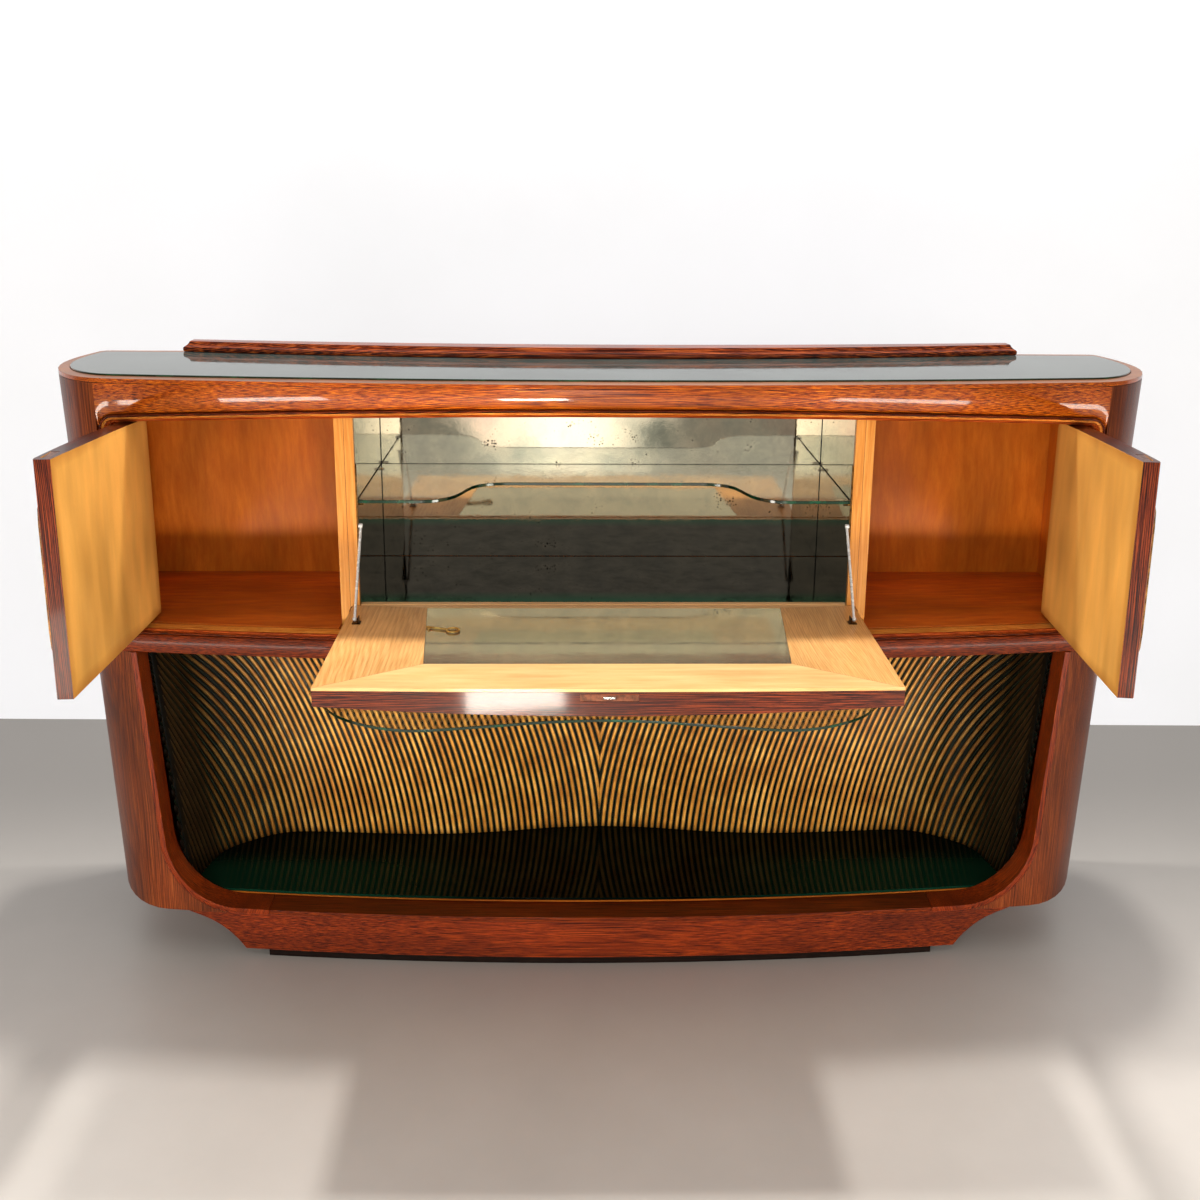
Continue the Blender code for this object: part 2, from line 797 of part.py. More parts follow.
def niche_lining():
    half = divider_inner_face - gap
    threshold_front = flap_pivot_y + math.hypot(flap_pivot_inset, flap_pivot_inset) + 0.0018
    threshold_back = threshold_front + threshold_depth
    floor_front = threshold_back + gap
    mirror_back = inside_back - mirror_thickness
    floor_mirror = niche_floor_top - mirror_thickness
    section = [(threshold_front, floor_bottom), (inside_back, floor_bottom),
               (inside_back, floor_mirror - gap), (threshold_back, floor_mirror - gap),
               (threshold_back, niche_floor_top), (threshold_front, niche_floor_top)]
    plate("niche_floor", section, -half, half, maple(), "yz")
    box("niche_floor_mirror", (-half, floor_front, floor_mirror),
        (half, mirror_back - gap, niche_floor_top), mirror_glass())
    wide = half + mirror_thickness
    box("niche_back_mirror", (-wide, mirror_back, niche_floor_top + gap), (wide, inside_back, ceiling),
        mirror_glass())
    for side, name in ((-1, "left_niche_mirror"), (1, "right_niche_mirror")):
        mesh = box_mesh(name, (half, divider_front + divider_lip + gap, floor_mirror),
                        (wide, mirror_back - gap, ceiling))
        item = make_object(name, sided(mesh, side, name), mirror_glass())
        peg_z = upper_shelf_z - shelf_glass / 2 - gap - peg_radius
        for y in (upper_shelf_front + 0.014, mirror_back - 0.030):
            peg = rod_mesh("peg", (half - peg_length, y, peg_z), (half + 0.001, y, peg_z), peg_radius, 12)
            carve(item, sided(peg, side, "peg"), "UNION")


def upper_shelf():
    half = divider_inner_face - 0.0012
    back = inside_back - mirror_thickness - 0.001
    front = upper_shelf_front
    deep = front + cutout_depth
    bevel = 0.03
    right = [(half, back), (half, front), (cutout_front_half + bevel, front)]
    right += curve_through([(cutout_front_half + bevel, front), (cutout_front_half, front + 0.008),
                            (cutout_front_half - 0.03, front + 0.040),
                            (cutout_back_half + 0.03, deep - 0.030), (cutout_back_half, deep - 0.006),
                            (cutout_back_half - bevel, deep)], 3)[1:]
    left = [(-x, y) for x, y in reversed(right)]
    low = upper_shelf_z - shelf_glass / 2
    plate("upper_glass_shelf", right + left, low, low + shelf_glass, clear_glass())


def liners():
    inner, outer = niche_outline(), niche_outline(liner_thickness)
    inner[0] = (liner_joint + gap / 2, inner[0][1])
    outer[0] = (liner_joint + gap / 2, outer[0][1])
    inner[-1] = (inner[-1][0], niche_top - gap)
    outer[-1] = (outer[-1][0], niche_top - gap)
    for side, name in ((-1, "left_niche_liner"), (1, "right_niche_liner")):
        rings = []
        for (xi, zi), (xo, zo) in zip(inner, outer):
            fi, fo = front_at(xi, zi), front_at(xo, zo)
            rings.append([(xi, fi, zi), (xo, fo, zo), (xo, fo + liner_depth, zo), (xi, fi + liner_depth, zi)])
        mesh = loft_mesh(name, rings)
        smooth(make_object(name, sided(mesh, side, name), rosewood()))
    low, high = niche_sill - liner_thickness, niche_sill
    rings = []
    half = liner_joint - gap / 2
    for x in steps(-half, half, 16):
        f = front_at(x, low)
        rings.append([(x, f, low), (x, f, high), (x, f + liner_depth, high), (x, f + liner_depth, low)])
    loft("niche_sill_rail", rings, rosewood())


def fluted_panels():
    line = panel_line()
    low, high = bottom_glass_z, deck_bottom - gap
    for side, name in ((-1, "left_fluted_panel"), (1, "right_fluted_panel")):
        rings = []
        for z in (low, high):
            scale = panel_scale(z)
            face = [(max(x * scale, gap / 2), y, z) for x, y in line]
            back = []
            for i, (x, y) in enumerate(line):
                before, after = line[max(i - 1, 0)], line[min(i + 1, len(line) - 1)]
                run = Vector((after[0] - before[0], after[1] - before[1])).normalized()
                if i == 0:
                    run = Vector((1.0, 0.0))
                px, py = x - run.y * panel_thickness, y + run.x * panel_thickness
                back.append((max(px * scale, gap / 2), py, z))
            rings.append(face + list(reversed(back)))
        mesh = loft_mesh(name, rings)
        item = smooth(make_object(name, sided(mesh, side, name), gilt_wood()), 60.0)
        peg_z = lower_shelf_z - shelf_glass / 2 - gap - peg_radius
        for foot_x in (niche_half * 0.1773, niche_half * 0.5319):
            x, y = foot_x * panel_scale(peg_z), panel_depth(foot_x)
            peg = rod_mesh("peg", (x, y - peg_length, peg_z), (x, y + 0.003, peg_z), peg_radius, 12)
            carve(item, sided(peg, side, "peg"), "UNION")


def lower_niche_glass():
    low = bottom_glass_z
    clear = 2 * running
    turn = niche_half - panel_turn_run
    line = [(x - clear if x > turn else x, y - clear) for x, y in panel_line()]
    reach = niche_half - 0.066
    front = [(x, front_at(x, low) + liner_depth + seam + 0.001) for x in steps(0.0, reach, 10)]
    right = front + list(reversed(line[1:]))
    right = [p for p in right if p[0] > 0.0]
    left = [(-x, y) for x, y in reversed(right)]
    outline = [front[0]] + right + [line[0]] + left
    plate("niche_bottom_glass", outline, low, low + bottom_glass_thickness, dark_glass())
    shares = [(0.0, 0.3881), (0.1689, 0.3706), (0.3378, 0.3284), (0.5743, 0.2736), (0.6926, 0.2910),
              (0.7855, 0.3483), (0.8632, 0.4279), (0.9291, 0.5522), (1.0, 0.7214)]
    edge = curve_through([(x * lower_shelf_half, y * case_depth) for x, y in shares], 3)
    low = lower_shelf_z - shelf_glass / 2
    scale = panel_scale(low)
    back = [(x * scale, y - 3 * running) for x, y in panel_line() if x * scale < lower_shelf_half + 0.008]
    right = edge + list(reversed(back[1:]))
    right = [p for p in right if p[0] > 0.0]
    left = [(-x, y) for x, y in reversed(right)]
    outline = [edge[0]] + right + [back[0]] + left
    plate("lower_glass_shelf", outline, low, low + shelf_glass, clear_glass())


def base():
    low, high = shell_bottom, shell_bottom + bottom_thickness
    scale = narrowing(low)
    reach = niche_half + 0.014
    front = [(x, front_at(x, low) + liner_depth + seam) for x in steps(0.0, reach, 10)]
    inset = shell_thickness + shell_clearance
    around = [(x * scale, y) for x, y in half_outline(inset, inset, inset)[:-1]
              if x * scale > reach + 0.005 and y > front[-1][1] + 0.01]
    end = shell_back_half * scale - seam
    right = front + around + [(end, around[-1][1]), (end, back_inner - gap)]
    left = [(-x, y) for x, y in reversed(right[1:])]
    plate("case_bottom", right + left, low, high, lining_wood())
    apron_low = plinth_height + gap
    shape = [(0.044, 0.0), (0.057, 0.2097), (0.081, 0.4822), (0.110, 0.6955), (0.148, 0.8614), (0.178, 1.0)]
    sweep = curve_through([(plinth_half + out, apron_low + (base_height - apron_low) * share)
                           for out, share in shape], 3)
    rings = []
    ends = sweep[:-1]
    stations = [(-x, z) for x, z in reversed(ends)]
    straight = base_block_half - 0.012
    stations += [(x, apron_low) for x in steps(-straight, straight, 20)] + ends
    for x, z in stations:
        f = front_at(x, low) + apron_setback
        rings.append([(x, f, z), (x, f, base_height), (x, f + apron_thickness, base_height),
                      (x, f + apron_thickness, z)])
    loft("apron", rings, rosewood())
    start = front_at(sweep[-1][0], low) + apron_setback + apron_thickness + seam
    rear = case_depth - base_back_setback
    block = sweep[:-1] + [(base_block_half, base_height), (base_block_half, apron_low)]
    for side, name in ((-1, "left_base_block"), (1, "right_base_block")):
        mesh = plate_mesh(name, block, start, rear, "xz")
        smooth(make_object(name, sided(mesh, side, name), mahogany()))
    half = base_block_half - seam
    box("base_back", (-half, rear - base_board_thickness, apron_low), (half, rear, base_height), mahogany())
    plinth = [(x, front_at(x, 0.0) + apron_setback + plinth_setback)
              for x in steps(-plinth_half, plinth_half, 16)]
    plinth += [(plinth_half, rear - 0.01), (-plinth_half, rear - 0.01)]
    plate("sub_plinth", plinth, 0.0, plinth_height, dark_rosewood())


def add_door_pins(rail, floors):
    """Pivot pins of the doors: the upper ones in the top rail, the lower ones in the floors."""
    y = closed_face(door_pivot_x) - door_pivot_depth
    head = opening_top(door_pivot_x) + 0.004
    for side, floor in zip((-1, 1), floors):
        low = rod_mesh("pin", (door_pivot_x, y, floor_top - 0.002), (door_pivot_x, y, door_bottom + 0.010),
                       door_pin_radius, 16)
        high = rod_mesh("pin", (door_pivot_x, y, head), (door_pivot_x, y, head - 0.016), door_pin_radius, 16)
        carve(floor, sided(low, side, "pin"), "UNION")
        carve(rail, sided(high, side, "pin"), "UNION")


def door_top(x):
    return opening_top(x) - door_clearance


def door_board(side, word, angle):
    """Door board, modelled closed and then swung open about its pivot."""
    name = word + "_door_board"
    length = door_hinge_x - door_free_x
    rings = []
    shares = [0.0, 0.01, 0.03] + steps(0.1, 0.9, 8) + [0.965, 0.975, 0.985, 1.0]
    for t in shares:
        x = door_free_x + length * t
        inner = closed_face(x) - gap
        outer = inner - door_thickness - door_belly * 4 * t * (1 - t)
        outer += 0.0035 * max(0.0, 1.0 - t / 0.03) ** 2
        top = door_top(x)
        far = max(0.0, t - 0.965) / 0.035
        top -= 0.012 * (1.0 - math.sqrt(1.0 - min(far, 1.0) ** 2))
        rings.append([(x, inner, door_bottom), (x, outer, door_bottom), (x, outer, top), (x, inner, top)])
    pivot = Vector((side * door_pivot_x, closed_face(door_pivot_x) - door_pivot_depth + front_y, 0.0))
    hinge = bpy.data.objects.new(word + "_door_hinge", None)
    parts.objects.link(hinge)
    hinge.location = pivot
    hinge.rotation_euler = (0.0, 0.0, side * angle)
    home = Matrix.Translation(-pivot)

    def mount(item):
        item.data.transform(home)
        item.parent = hinge
        return item

    board = mount(smooth(make_object(name, sided(loft_mesh(name, rings), side, name), maple()), 30.0))
    px, py = door_pivot_x, closed_face(door_pivot_x) - door_pivot_depth
    bore = door_pin_radius + running
    top = door_top(door_pivot_x)
    tools = [rod_mesh("bore", (px, py, door_bottom - 0.01), (px, py, door_bottom + 0.012), bore, 16),
             rod_mesh("bore", (px, py, top - 0.0125), (px, py, top + 0.01), bore, 16)]
    plate_low = door_free_x + 0.014
    plate_mid = closed_face(plate_low) - gap - door_thickness / 2
    recess_floor = door_top(plate_low + catch_length) - 0.0022
    tools.append(box_mesh("recess", (plate_low - gap, plate_mid - 0.0063, recess_floor),
                          (plate_low + catch_length + gap, plate_mid + 0.0063, recess_floor + 0.01)))
    for tool in tools:
        cutter_mesh = sided(tool, side, name)
        cutter_mesh.transform(home)
        carve(board, cutter_mesh)
        board.modifiers[-1].object.parent = hinge
    name = word + "_door_catch_plate"
    mesh = box_mesh(name, (plate_low, plate_mid - 0.006, recess_floor + gap),
                    (plate_low + catch_length, plate_mid + 0.006, recess_floor + gap + 0.0015))
    mount(make_object(name, sided(mesh, side, name), chrome()))
    name = word + "_door_pull"
    height = door_top(door_free_x) - door_bottom
    low, high = door_bottom + 0.18 * height, door_bottom + 0.816 * height
    start = door_free_x + 0.016
    face = closed_face(start) - gap - door_thickness - gap - 0.0007
    rings = []
    for z, share in ((low, 0.35), (low + 0.010, 0.8), (low + 0.035, 1.0), (high - 0.035, 1.0),
                     (high - 0.010, 0.8), (high, 0.35)):
        rise = pull_height * share
        rings.append([(start, face, z), (start, face - rise, z), (start + pull_width * 0.35, face - rise, z),
                      (start + pull_width, face - rise * 0.35, z), (start + pull_width, face, z)])
    mount(smooth(make_object(name, sided(loft_mesh(name, rings), side, name), brass())))


def flap_depth(x, y):
    """Thickness of the flap: even at the hinge, bellied in the middle further out."""
    share = (flap_back - y) / flap_length
    rise = min(1.0, max(0.0, (share - 0.12) / 0.28))
    rise = rise * rise * (3.0 - 2.0 * rise)
    belly = flap_belly * (1.0 - (x / flap_half) ** 2)
    return flap_thickness + belly * (0.12 * min(1.0, share / 0.12) + 0.88 * rise)


def flap_edge(x):
    return flap_back - flap_length + opening_arch * x * x


def flap():
    hinge = bpy.data.objects.new("flap_hinge", None)
    parts.objects.link(hinge)
    hinge.location = (0.0, flap_pivot_y + front_y, flap_pivot_z)
    home = Matrix.Translation(-hinge.location)

    def mount(item):
        item.data.transform(home)
        item.parent = hinge
        return item

    split = niche_floor_top - flap_lining
    rings = []
    for x in steps(-flap_half, flap_half, 20):
        ys = steps(flap_back, flap_edge(x), 14)
        under = [(x, y, niche_floor_top - flap_depth(x, y)) for y in ys]
        rings.append([(x, ys[0], split - gap)] + under + [(x, ys[-1], split - gap)])
    board = mount(loft("flap_board", rings, dark_rosewood()))
    edge_y = flap_edge(0.0)
    pocket = (bolt_half_width + running, bolt_thickness / 2 + running)
    tools = [
        box_mesh("pocket", (-pocket[0], edge_y - 0.01, bolt_z - pocket[1]),
                 (pocket[0], edge_y + bolt_length + 0.002, bolt_z + pocket[1])),
        box_mesh("recess", (-faceplate_half - gap, edge_y - 0.01, bolt_z - faceplate_height / 2 - gap),
                 (faceplate_half + gap, edge_y + faceplate_thickness + gap, bolt_z + faceplate_height / 2 + gap))]
    for side in (-1, 1):
        bore = rod_mesh("bore", (flap_half - 0.012, flap_pivot_y, flap_pivot_z),
                        (flap_half + 0.01, flap_pivot_y, flap_pivot_z), hinge_pin_radius + running, 16)
        tools.append(sided(bore, side, "bore"))
    for tool in tools:
        tool.transform(home)
        carve(board, tool)
        board.modifiers[-1].object.parent = hinge

    outline = [(x, flap_edge(x)) for x in steps(-flap_half, flap_half, 20)]
    outline += [(flap_half, flap_back), (-flap_half, flap_back)]
    lining = mount(plate("flap_inner_panel", outline, split, niche_floor_top, maple()))
    window = [(-flap_mirror_half_front, flap_mirror_front), (flap_mirror_half_front, flap_mirror_front),
              (flap_mirror_half_back, flap_mirror_back), (-flap_mirror_half_back, flap_mirror_back)]
    cutter_mesh = plate_mesh("window", window, split - 0.01, niche_floor_top + 0.01)
    cutter_mesh.transform(home)
    carve(lining, cutter_mesh)
    lining.modifiers[-1].object.parent = hinge
    inset = [(x - math.copysign(gap, x), y + (gap if y < 0 else -gap)) for x, y in window]
    mount(plate("flap_mirror", inset, split, niche_floor_top - 0.0006, mirror_glass()))

    face = mount(box("lock_faceplate", (-faceplate_half, edge_y + 0.0002, bolt_z - faceplate_height / 2),
                     (faceplate_half, edge_y + faceplate_thickness, bolt_z + faceplate_height / 2), brass()))
    slot = box_mesh("slot", (-pocket[0], edge_y - 0.01, bolt_z - pocket[1]),
                    (pocket[0], edge_y + 0.01, bolt_z + pocket[1]))
    slot.transform(home)
    carve(face, slot)
    face.modifiers[-1].object.parent = hinge
    mount(box("lock_bolt", (-bolt_half_width, edge_y + 0.0002, bolt_z - bolt_thickness / 2),
              (bolt_half_width, edge_y + bolt_length, bolt_z + bolt_thickness / 2), chrome()))

    pin_z = niche_floor_top + stay_pin_height
    upright_out = stay_x - stay_ball - 2 * gap - 0.0006
    upright_in = upright_out - 0.0018
    low = niche_floor_top + gap
    section = [(upright_in - 0.003, low), (stay_x + stay_ball, low), (stay_x + stay_ball, low + 0.0015),
               (upright_out, low + 0.0015), (upright_out, pin_z + 0.004), (upright_in, pin_z + 0.004),
               (upright_in, low + 0.0015), (upright_in - 0.003, low + 0.0015)]
    for side, name in ((-1, "left_stay_bracket"), (1, "right_stay_bracket")):
        mesh = plate_mesh(name, section, stay_foot_y - 0.008, stay_foot_y + 0.008, "xz")
        bracket = mount(smooth(make_object(name, sided(mesh, side, name), chrome())))
        pin = sided(rod_mesh("pin", (upright_in + 0.0005, stay_foot_y, pin_z),
                             (stay_x + stay_ball, stay_foot_y, pin_z), stay_pin_radius, 12), side, "pin")
        pin.transform(home)
        carve(bracket, pin, "UNION")
        bracket.modifiers[-1].object.parent = hinge

    for side, name in ((-1, "left_stay_rod"), (1, "right_stay_rod")):
        foot = Vector((stay_x, stay_foot_y, pin_z))
        head = Vector((stay_x, stay_track_y, stay_top_z))
        shaft = smooth(make_object(name, sided(rod_mesh(name, foot, head, stay_radius, 12), side, name), chrome()))
        shaft.location = (side * stay_x, stay_foot_y + front_y, pin_z)
        back_home = Matrix.Translation(-shaft.location)
        shaft.data.transform(back_home)
        face_x = divider_inner_face - 2 * gap - track_thickness
        extras = [(ball_mesh("ball", foot, stay_ball), "UNION"),
                  (rod_mesh("stud", (stay_x - 0.003, stay_track_y, stay_top_z),
                            (face_x, stay_track_y, stay_top_z), stay_stud_radius, 14), "UNION"),
                  (rod_mesh("bore", (stay_x - 0.01, stay_foot_y, pin_z),
                            (stay_x + 0.01, stay_foot_y, pin_z), stay_pin_radius + running, 12), "DIFFERENCE")]
        for mesh, action in extras:
            mesh = sided(mesh, side, name)
            mesh.transform(back_home)
            carve(shaft, mesh, action)
            shaft.modifiers[-1].object.location = shaft.location


def hinge_plates():
    start = flap_half + 0.0011
    for side, name in ((-1, "left_flap_hinge"), (1, "right_flap_hinge")):
        mesh = box_mesh(name, (start, flap_pivot_y - 0.010, flap_pivot_z - 0.009),
                        (start + hinge_plate_thickness, divider_front - gap, flap_pivot_z + 0.014))
        plate_item = make_object(name, sided(mesh, side, name), brass())
        pin = rod_mesh("pin", (flap_half - 0.010, flap_pivot_y, flap_pivot_z),
                       (start + 0.0007, flap_pivot_y, flap_pivot_z), hinge_pin_radius, 14)
        carve(plate_item, sided(pin, side, "pin"), "UNION")


def key():
    """Loose key lying on the flap's mirror: ring bow, shaft and bit."""
    z = niche_floor_top - 0.0006 + gap + 0.002
    bow = Vector((-0.262, -0.062, z))
    along = Vector((-1.0, 0.35, 0.0)).normalized()
    tip = bow + along * 0.050
    place = Matrix.Translation(shift([tuple(bow)])[0])

    def ring(work):
        circle = 20
        tube = 8
        rows = []
        for i in range(circle):
            turn = 2 * math.pi * i / circle
            row = []
            for j in range(tube):
                swing = 2 * math.pi * j / tube
                reach = 0.0105 + 0.0018 * math.cos(swing)
                row.append(work.verts.new(place @ Vector((
                    reach * math.cos(turn), reach * math.sin(turn), 0.0018 * math.sin(swing)))))
            rows.append(row)
        for i in range(circle):
            for j in range(tube):
                a, b = rows[i], rows[(i + 1) % circle]
                work.faces.new((a[j], b[j], b[(j + 1) % tube], a[(j + 1) % tube]))

    item = smooth(make_object("key", mesh_of(ring, "key"), brass()))
    start = bow + along * 0.0105
    carve(item, rod_mesh("shaft", start, tip, 0.0019, 10), "UNION")
    across = Vector((-along.y, along.x, 0.0))
    bit_start = tip - along * 0.008
    carve(item, rod_mesh("bit", bit_start, bit_start + across * 0.009, 0.0016, 8), "UNION")


clear_scene()
side_shells()
rim()
top_panels()
crest()
rail_item = top_rail()
opening_moulding()
middle_members()
add_door_pins(rail_item, deck_and_floors())
compartment_linings()
backs()
dividers()
niche_lining()
upper_shelf()
liners()
fluted_panels()
lower_niche_glass()
base()
hinge_plates()
door_board(-1, "left", left_open)
door_board(1, "right", right_open)
flap()
key()
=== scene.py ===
import json
import math

import bmesh
import bpy
from mathutils import Matrix, Vector

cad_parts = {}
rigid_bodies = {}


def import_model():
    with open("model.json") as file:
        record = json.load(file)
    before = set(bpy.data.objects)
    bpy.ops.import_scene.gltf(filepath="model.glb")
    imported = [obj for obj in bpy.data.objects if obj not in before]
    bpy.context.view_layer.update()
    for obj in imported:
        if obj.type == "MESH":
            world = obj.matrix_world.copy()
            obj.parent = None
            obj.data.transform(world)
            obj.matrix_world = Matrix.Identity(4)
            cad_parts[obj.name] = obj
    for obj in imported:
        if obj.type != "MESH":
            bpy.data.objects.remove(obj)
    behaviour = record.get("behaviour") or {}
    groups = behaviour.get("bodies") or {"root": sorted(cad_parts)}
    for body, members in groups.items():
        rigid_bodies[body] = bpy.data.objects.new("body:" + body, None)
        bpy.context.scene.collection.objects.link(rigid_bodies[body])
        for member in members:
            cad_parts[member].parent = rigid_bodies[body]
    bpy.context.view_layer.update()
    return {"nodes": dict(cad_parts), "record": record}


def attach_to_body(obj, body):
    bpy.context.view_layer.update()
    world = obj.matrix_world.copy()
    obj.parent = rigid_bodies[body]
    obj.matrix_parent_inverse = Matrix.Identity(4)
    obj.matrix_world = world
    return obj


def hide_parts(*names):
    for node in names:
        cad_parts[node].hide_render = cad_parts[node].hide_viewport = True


for item in list(bpy.data.objects):
    bpy.data.objects.remove(item)
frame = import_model()
# the front is bowed, y = frontShift + frontBow * x * x, and frontShift is its middle
frontShift = -0.04275
frontBow = 0.06998


def colour(code):
    parts = [int(code[i:i + 2], 16) / 255 for i in (0, 2, 4)]
    return [c / 12.92 if c <= 0.04045 else ((c + 0.055) / 1.055) ** 2.4 for c in parts] + [1.0]


# a kind without the word Node is a shader node, settings that are one word are the operation,
# and a node given as an input stands for its first output in use
def addNode(tree, kind, settings=None, inputs=None, stops=None):
    node = tree.nodes.new(kind if "Node" in kind else "ShaderNode" + kind)
    if isinstance(settings, str):
        settings = {"operation": settings}
    for name, value in (settings or {}).items():
        setattr(node, name, value)
    for key, value in (inputs or {}).items():
        if isinstance(value, bpy.types.Node):
            value = next(socket for socket in value.outputs if socket.enabled)
        if isinstance(value, bpy.types.NodeSocket):
            tree.links.new(value, node.inputs[key])
        else:
            node.inputs[key].default_value = value
    if stops:
        ramp = node.color_ramp
        while len(ramp.elements) < len(stops):
            ramp.elements.new(0.5)
        for element, (spot, code) in zip(ramp.elements, stops):
            element.position = spot
            element.color = colour(code)
    return node


# settings of a range with soft ends, and of a mix of two colours
smoothly = {"interpolation_type": "SMOOTHSTEP"}
inColour = {"data_type": "RGBA"}


def newMaterial(name):
    material = bpy.data.materials.new(name)
    material.use_nodes = True
    tree = material.node_tree
    tree.nodes.clear()
    return material, tree


def closeMaterial(material, surface):
    addNode(material.node_tree, "OutputMaterial", inputs={"Surface": surface})
    return material


# pattern coordinates in millimetres, from the object's own place
def inMillimetres(tree, place=None):
    place = place or addNode(tree, "TexCoord").outputs["Object"]
    return addNode(tree, "VectorMath", "SCALE", {0: place, "Scale": 1000})


# wood figure shared by all veneers and solid boards; lengths in millimetres, grain along the turned
# z axis; pores are about 0.6 mm wide, coarser than real ones, so that they show
def woodFigureGroup():
    tree = bpy.data.node_groups.new("woodFigure", "ShaderNodeTree")
    for label in ("Place", "Turn", "Offset"):
        tree.interface.new_socket(label, in_out="INPUT", socket_type="NodeSocketVector")
    for label in ("Width", "Length", "Wander"):
        tree.interface.new_socket(label, in_out="INPUT", socket_type="NodeSocketFloat")
    for label in ("Streak", "Band", "Pore", "Cloud"):
        tree.interface.new_socket(label, in_out="OUTPUT", socket_type="NodeSocketFloat")
    given = addNode(tree, "NodeGroupInput").outputs
    turned = addNode(tree, "Mapping", inputs={
        "Vector": given["Place"], "Rotation": given["Turn"], "Location": given["Offset"],
        "Scale": (1000, 1000, 1000)})
    bendMap = addNode(tree, "VectorMath", "MULTIPLY", {0: turned, 1: (0.006, 0.006, 0.0022)})
    bend = addNode(tree, "TexNoise", inputs={
        "Vector": bendMap, "Scale": 1.0, "Detail": 2.0, "Roughness": 0.45}).outputs["Color"]
    centred = addNode(tree, "VectorMath", "SUBTRACT", {0: bend, 1: (0.5, 0.5, 0.5)})
    push = addNode(tree, "VectorMath", "SCALE", {0: centred, "Scale": given["Wander"]})
    wavy = addNode(tree, "VectorMath", "ADD", {0: turned, 1: push})
    cell = addNode(tree, "CombineXYZ", inputs={
        "X": given["Width"], "Y": given["Width"], "Z": given["Length"]})
    stretched = addNode(tree, "VectorMath", "DIVIDE", {0: wavy, 1: cell})
    streak = addNode(tree, "TexNoise", inputs={
        "Vector": stretched, "Scale": 1.0, "Detail": 6.0, "Roughness": 0.66, "Distortion": 0.15})
    broad = addNode(tree, "VectorMath", "MULTIPLY", {0: stretched, 1: (0.33, 0.33, 0.25)})
    band = addNode(tree, "TexWave", {"bands_direction": "DIAGONAL"}, {
        "Vector": broad, "Scale": 1.0, "Distortion": 5.0, "Detail": 3.0, "Detail Scale": 1.2})
    poreMap = addNode(tree, "VectorMath", "MULTIPLY", {0: wavy, 1: (1.6, 1.6, 0.085)})
    pore = addNode(tree, "TexNoise", inputs={
        "Vector": poreMap, "Scale": 1.0, "Detail": 2.0, "Roughness": 0.5})
    poreCut = addNode(tree, "MapRange", inputs={"Value": pore, "From Min": 0.56, "From Max": 0.70})
    cloudMap = addNode(tree, "VectorMath", "MULTIPLY", {0: turned, 1: (0.011, 0.011, 0.0035)})
    cloud = addNode(tree, "TexNoise", inputs={
        "Vector": cloudMap, "Scale": 1.0, "Detail": 2.0, "Roughness": 0.5})
    addNode(tree, "NodeGroupOutput", inputs={
        "Streak": streak.outputs["Fac"], "Band": band.outputs["Fac"], "Pore": poreCut, "Cloud": cloud})
    return tree


woodFigure = woodFigureGroup()
grainTurns = {"z": (0, 0, 0), "x": (0, math.pi / 2, 0), "y": (math.pi / 2, 0, 0)}


def woodMaterial(name, look, grain="z", turn=None):
    material, tree = newMaterial(name)
    if "follows" in look:
        place = addNode(tree, "Attribute", {"attribute_name": look["follows"]}).outputs["Vector"]
    else:
        place = addNode(tree, "TexCoord").outputs["Object"]
    figure = addNode(tree, "Group", {"node_tree": woodFigure}, {
        "Place": place, "Turn": turn or grainTurns[grain], "Offset": look.get("offset", (0, 0, 0)),
        "Width": look["width"], "Length": look["length"], "Wander": look["wander"]}).outputs
    blend = addNode(tree, "Mix", inputs={0: look["band"], 2: figure["Streak"], 3: figure["Band"]})
    tone = addNode(tree, "ValToRGB", inputs={"Fac": blend}, stops=look["tones"])
    shade = addNode(tree, "MapRange", inputs={
        "Value": figure["Cloud"], "From Min": 0.3, "From Max": 0.7,
        "To Min": 1 - look["cloud"], "To Max": 1 + look["cloud"]})
    shaded = addNode(tree, "VectorMath", "SCALE", {0: tone, "Scale": shade})
    poreShare = addNode(tree, "Math", "MULTIPLY", {0: figure["Pore"], 1: look["poreShare"]})
    final = addNode(tree, "Mix", inColour, {0: poreShare, 6: shaded, 7: colour(look["pore"])})
    if "border" in look:
        border = look["border"]
        reach = border["reach"]
        away = addNode(tree, "VectorMath", "SUBTRACT", {0: place, 1: border["centre"]})
        size = addNode(tree, "VectorMath", "ABSOLUTE", {0: away})
        left = addNode(tree, "VectorMath", "SUBTRACT", {0: border["half"], 1: size})
        sides = addNode(tree, "SeparateXYZ", inputs={"Vector": left}).outputs
        nearest = addNode(tree, "Math", "MINIMUM", {0: sides["Y"], 1: sides["Z"]})
        frayed = addNode(tree, "Math", "MULTIPLY_ADD", {0: figure["Cloud"], 1: reach, 2: nearest})
        worn = addNode(tree, "MapRange", inputs={
            "Value": frayed, "From Min": reach * 0.55, "From Max": reach * 1.6,
            "To Min": 0.55, "To Max": 0.0})
        final = addNode(tree, "Mix", inColour, {0: worn, 6: final, 7: colour(border["tone"])})
    rough = addNode(tree, "MapRange", inputs={
        "Value": figure["Streak"], "From Min": 0.3, "From Max": 0.7,
        "To Min": look["rough"] - 0.06, "To Max": look["rough"] + 0.08})
    height = addNode(tree, "Math", "SUBTRACT", {0: figure["Streak"], 1: figure["Pore"]})
    bump = addNode(tree, "Bump", inputs={
        "Strength": look.get("relief", 0.25), "Distance": 0.0002, "Height": height})
    shader = addNode(tree, "BsdfPrincipled", inputs={
        "Base Color": final, "Roughness": rough, "Normal": bump, "Specular IOR Level": 0.18,
        "Coat Weight": look["coat"], "Coat Roughness": look["coatRough"]})
    return closeMaterial(material, shader)


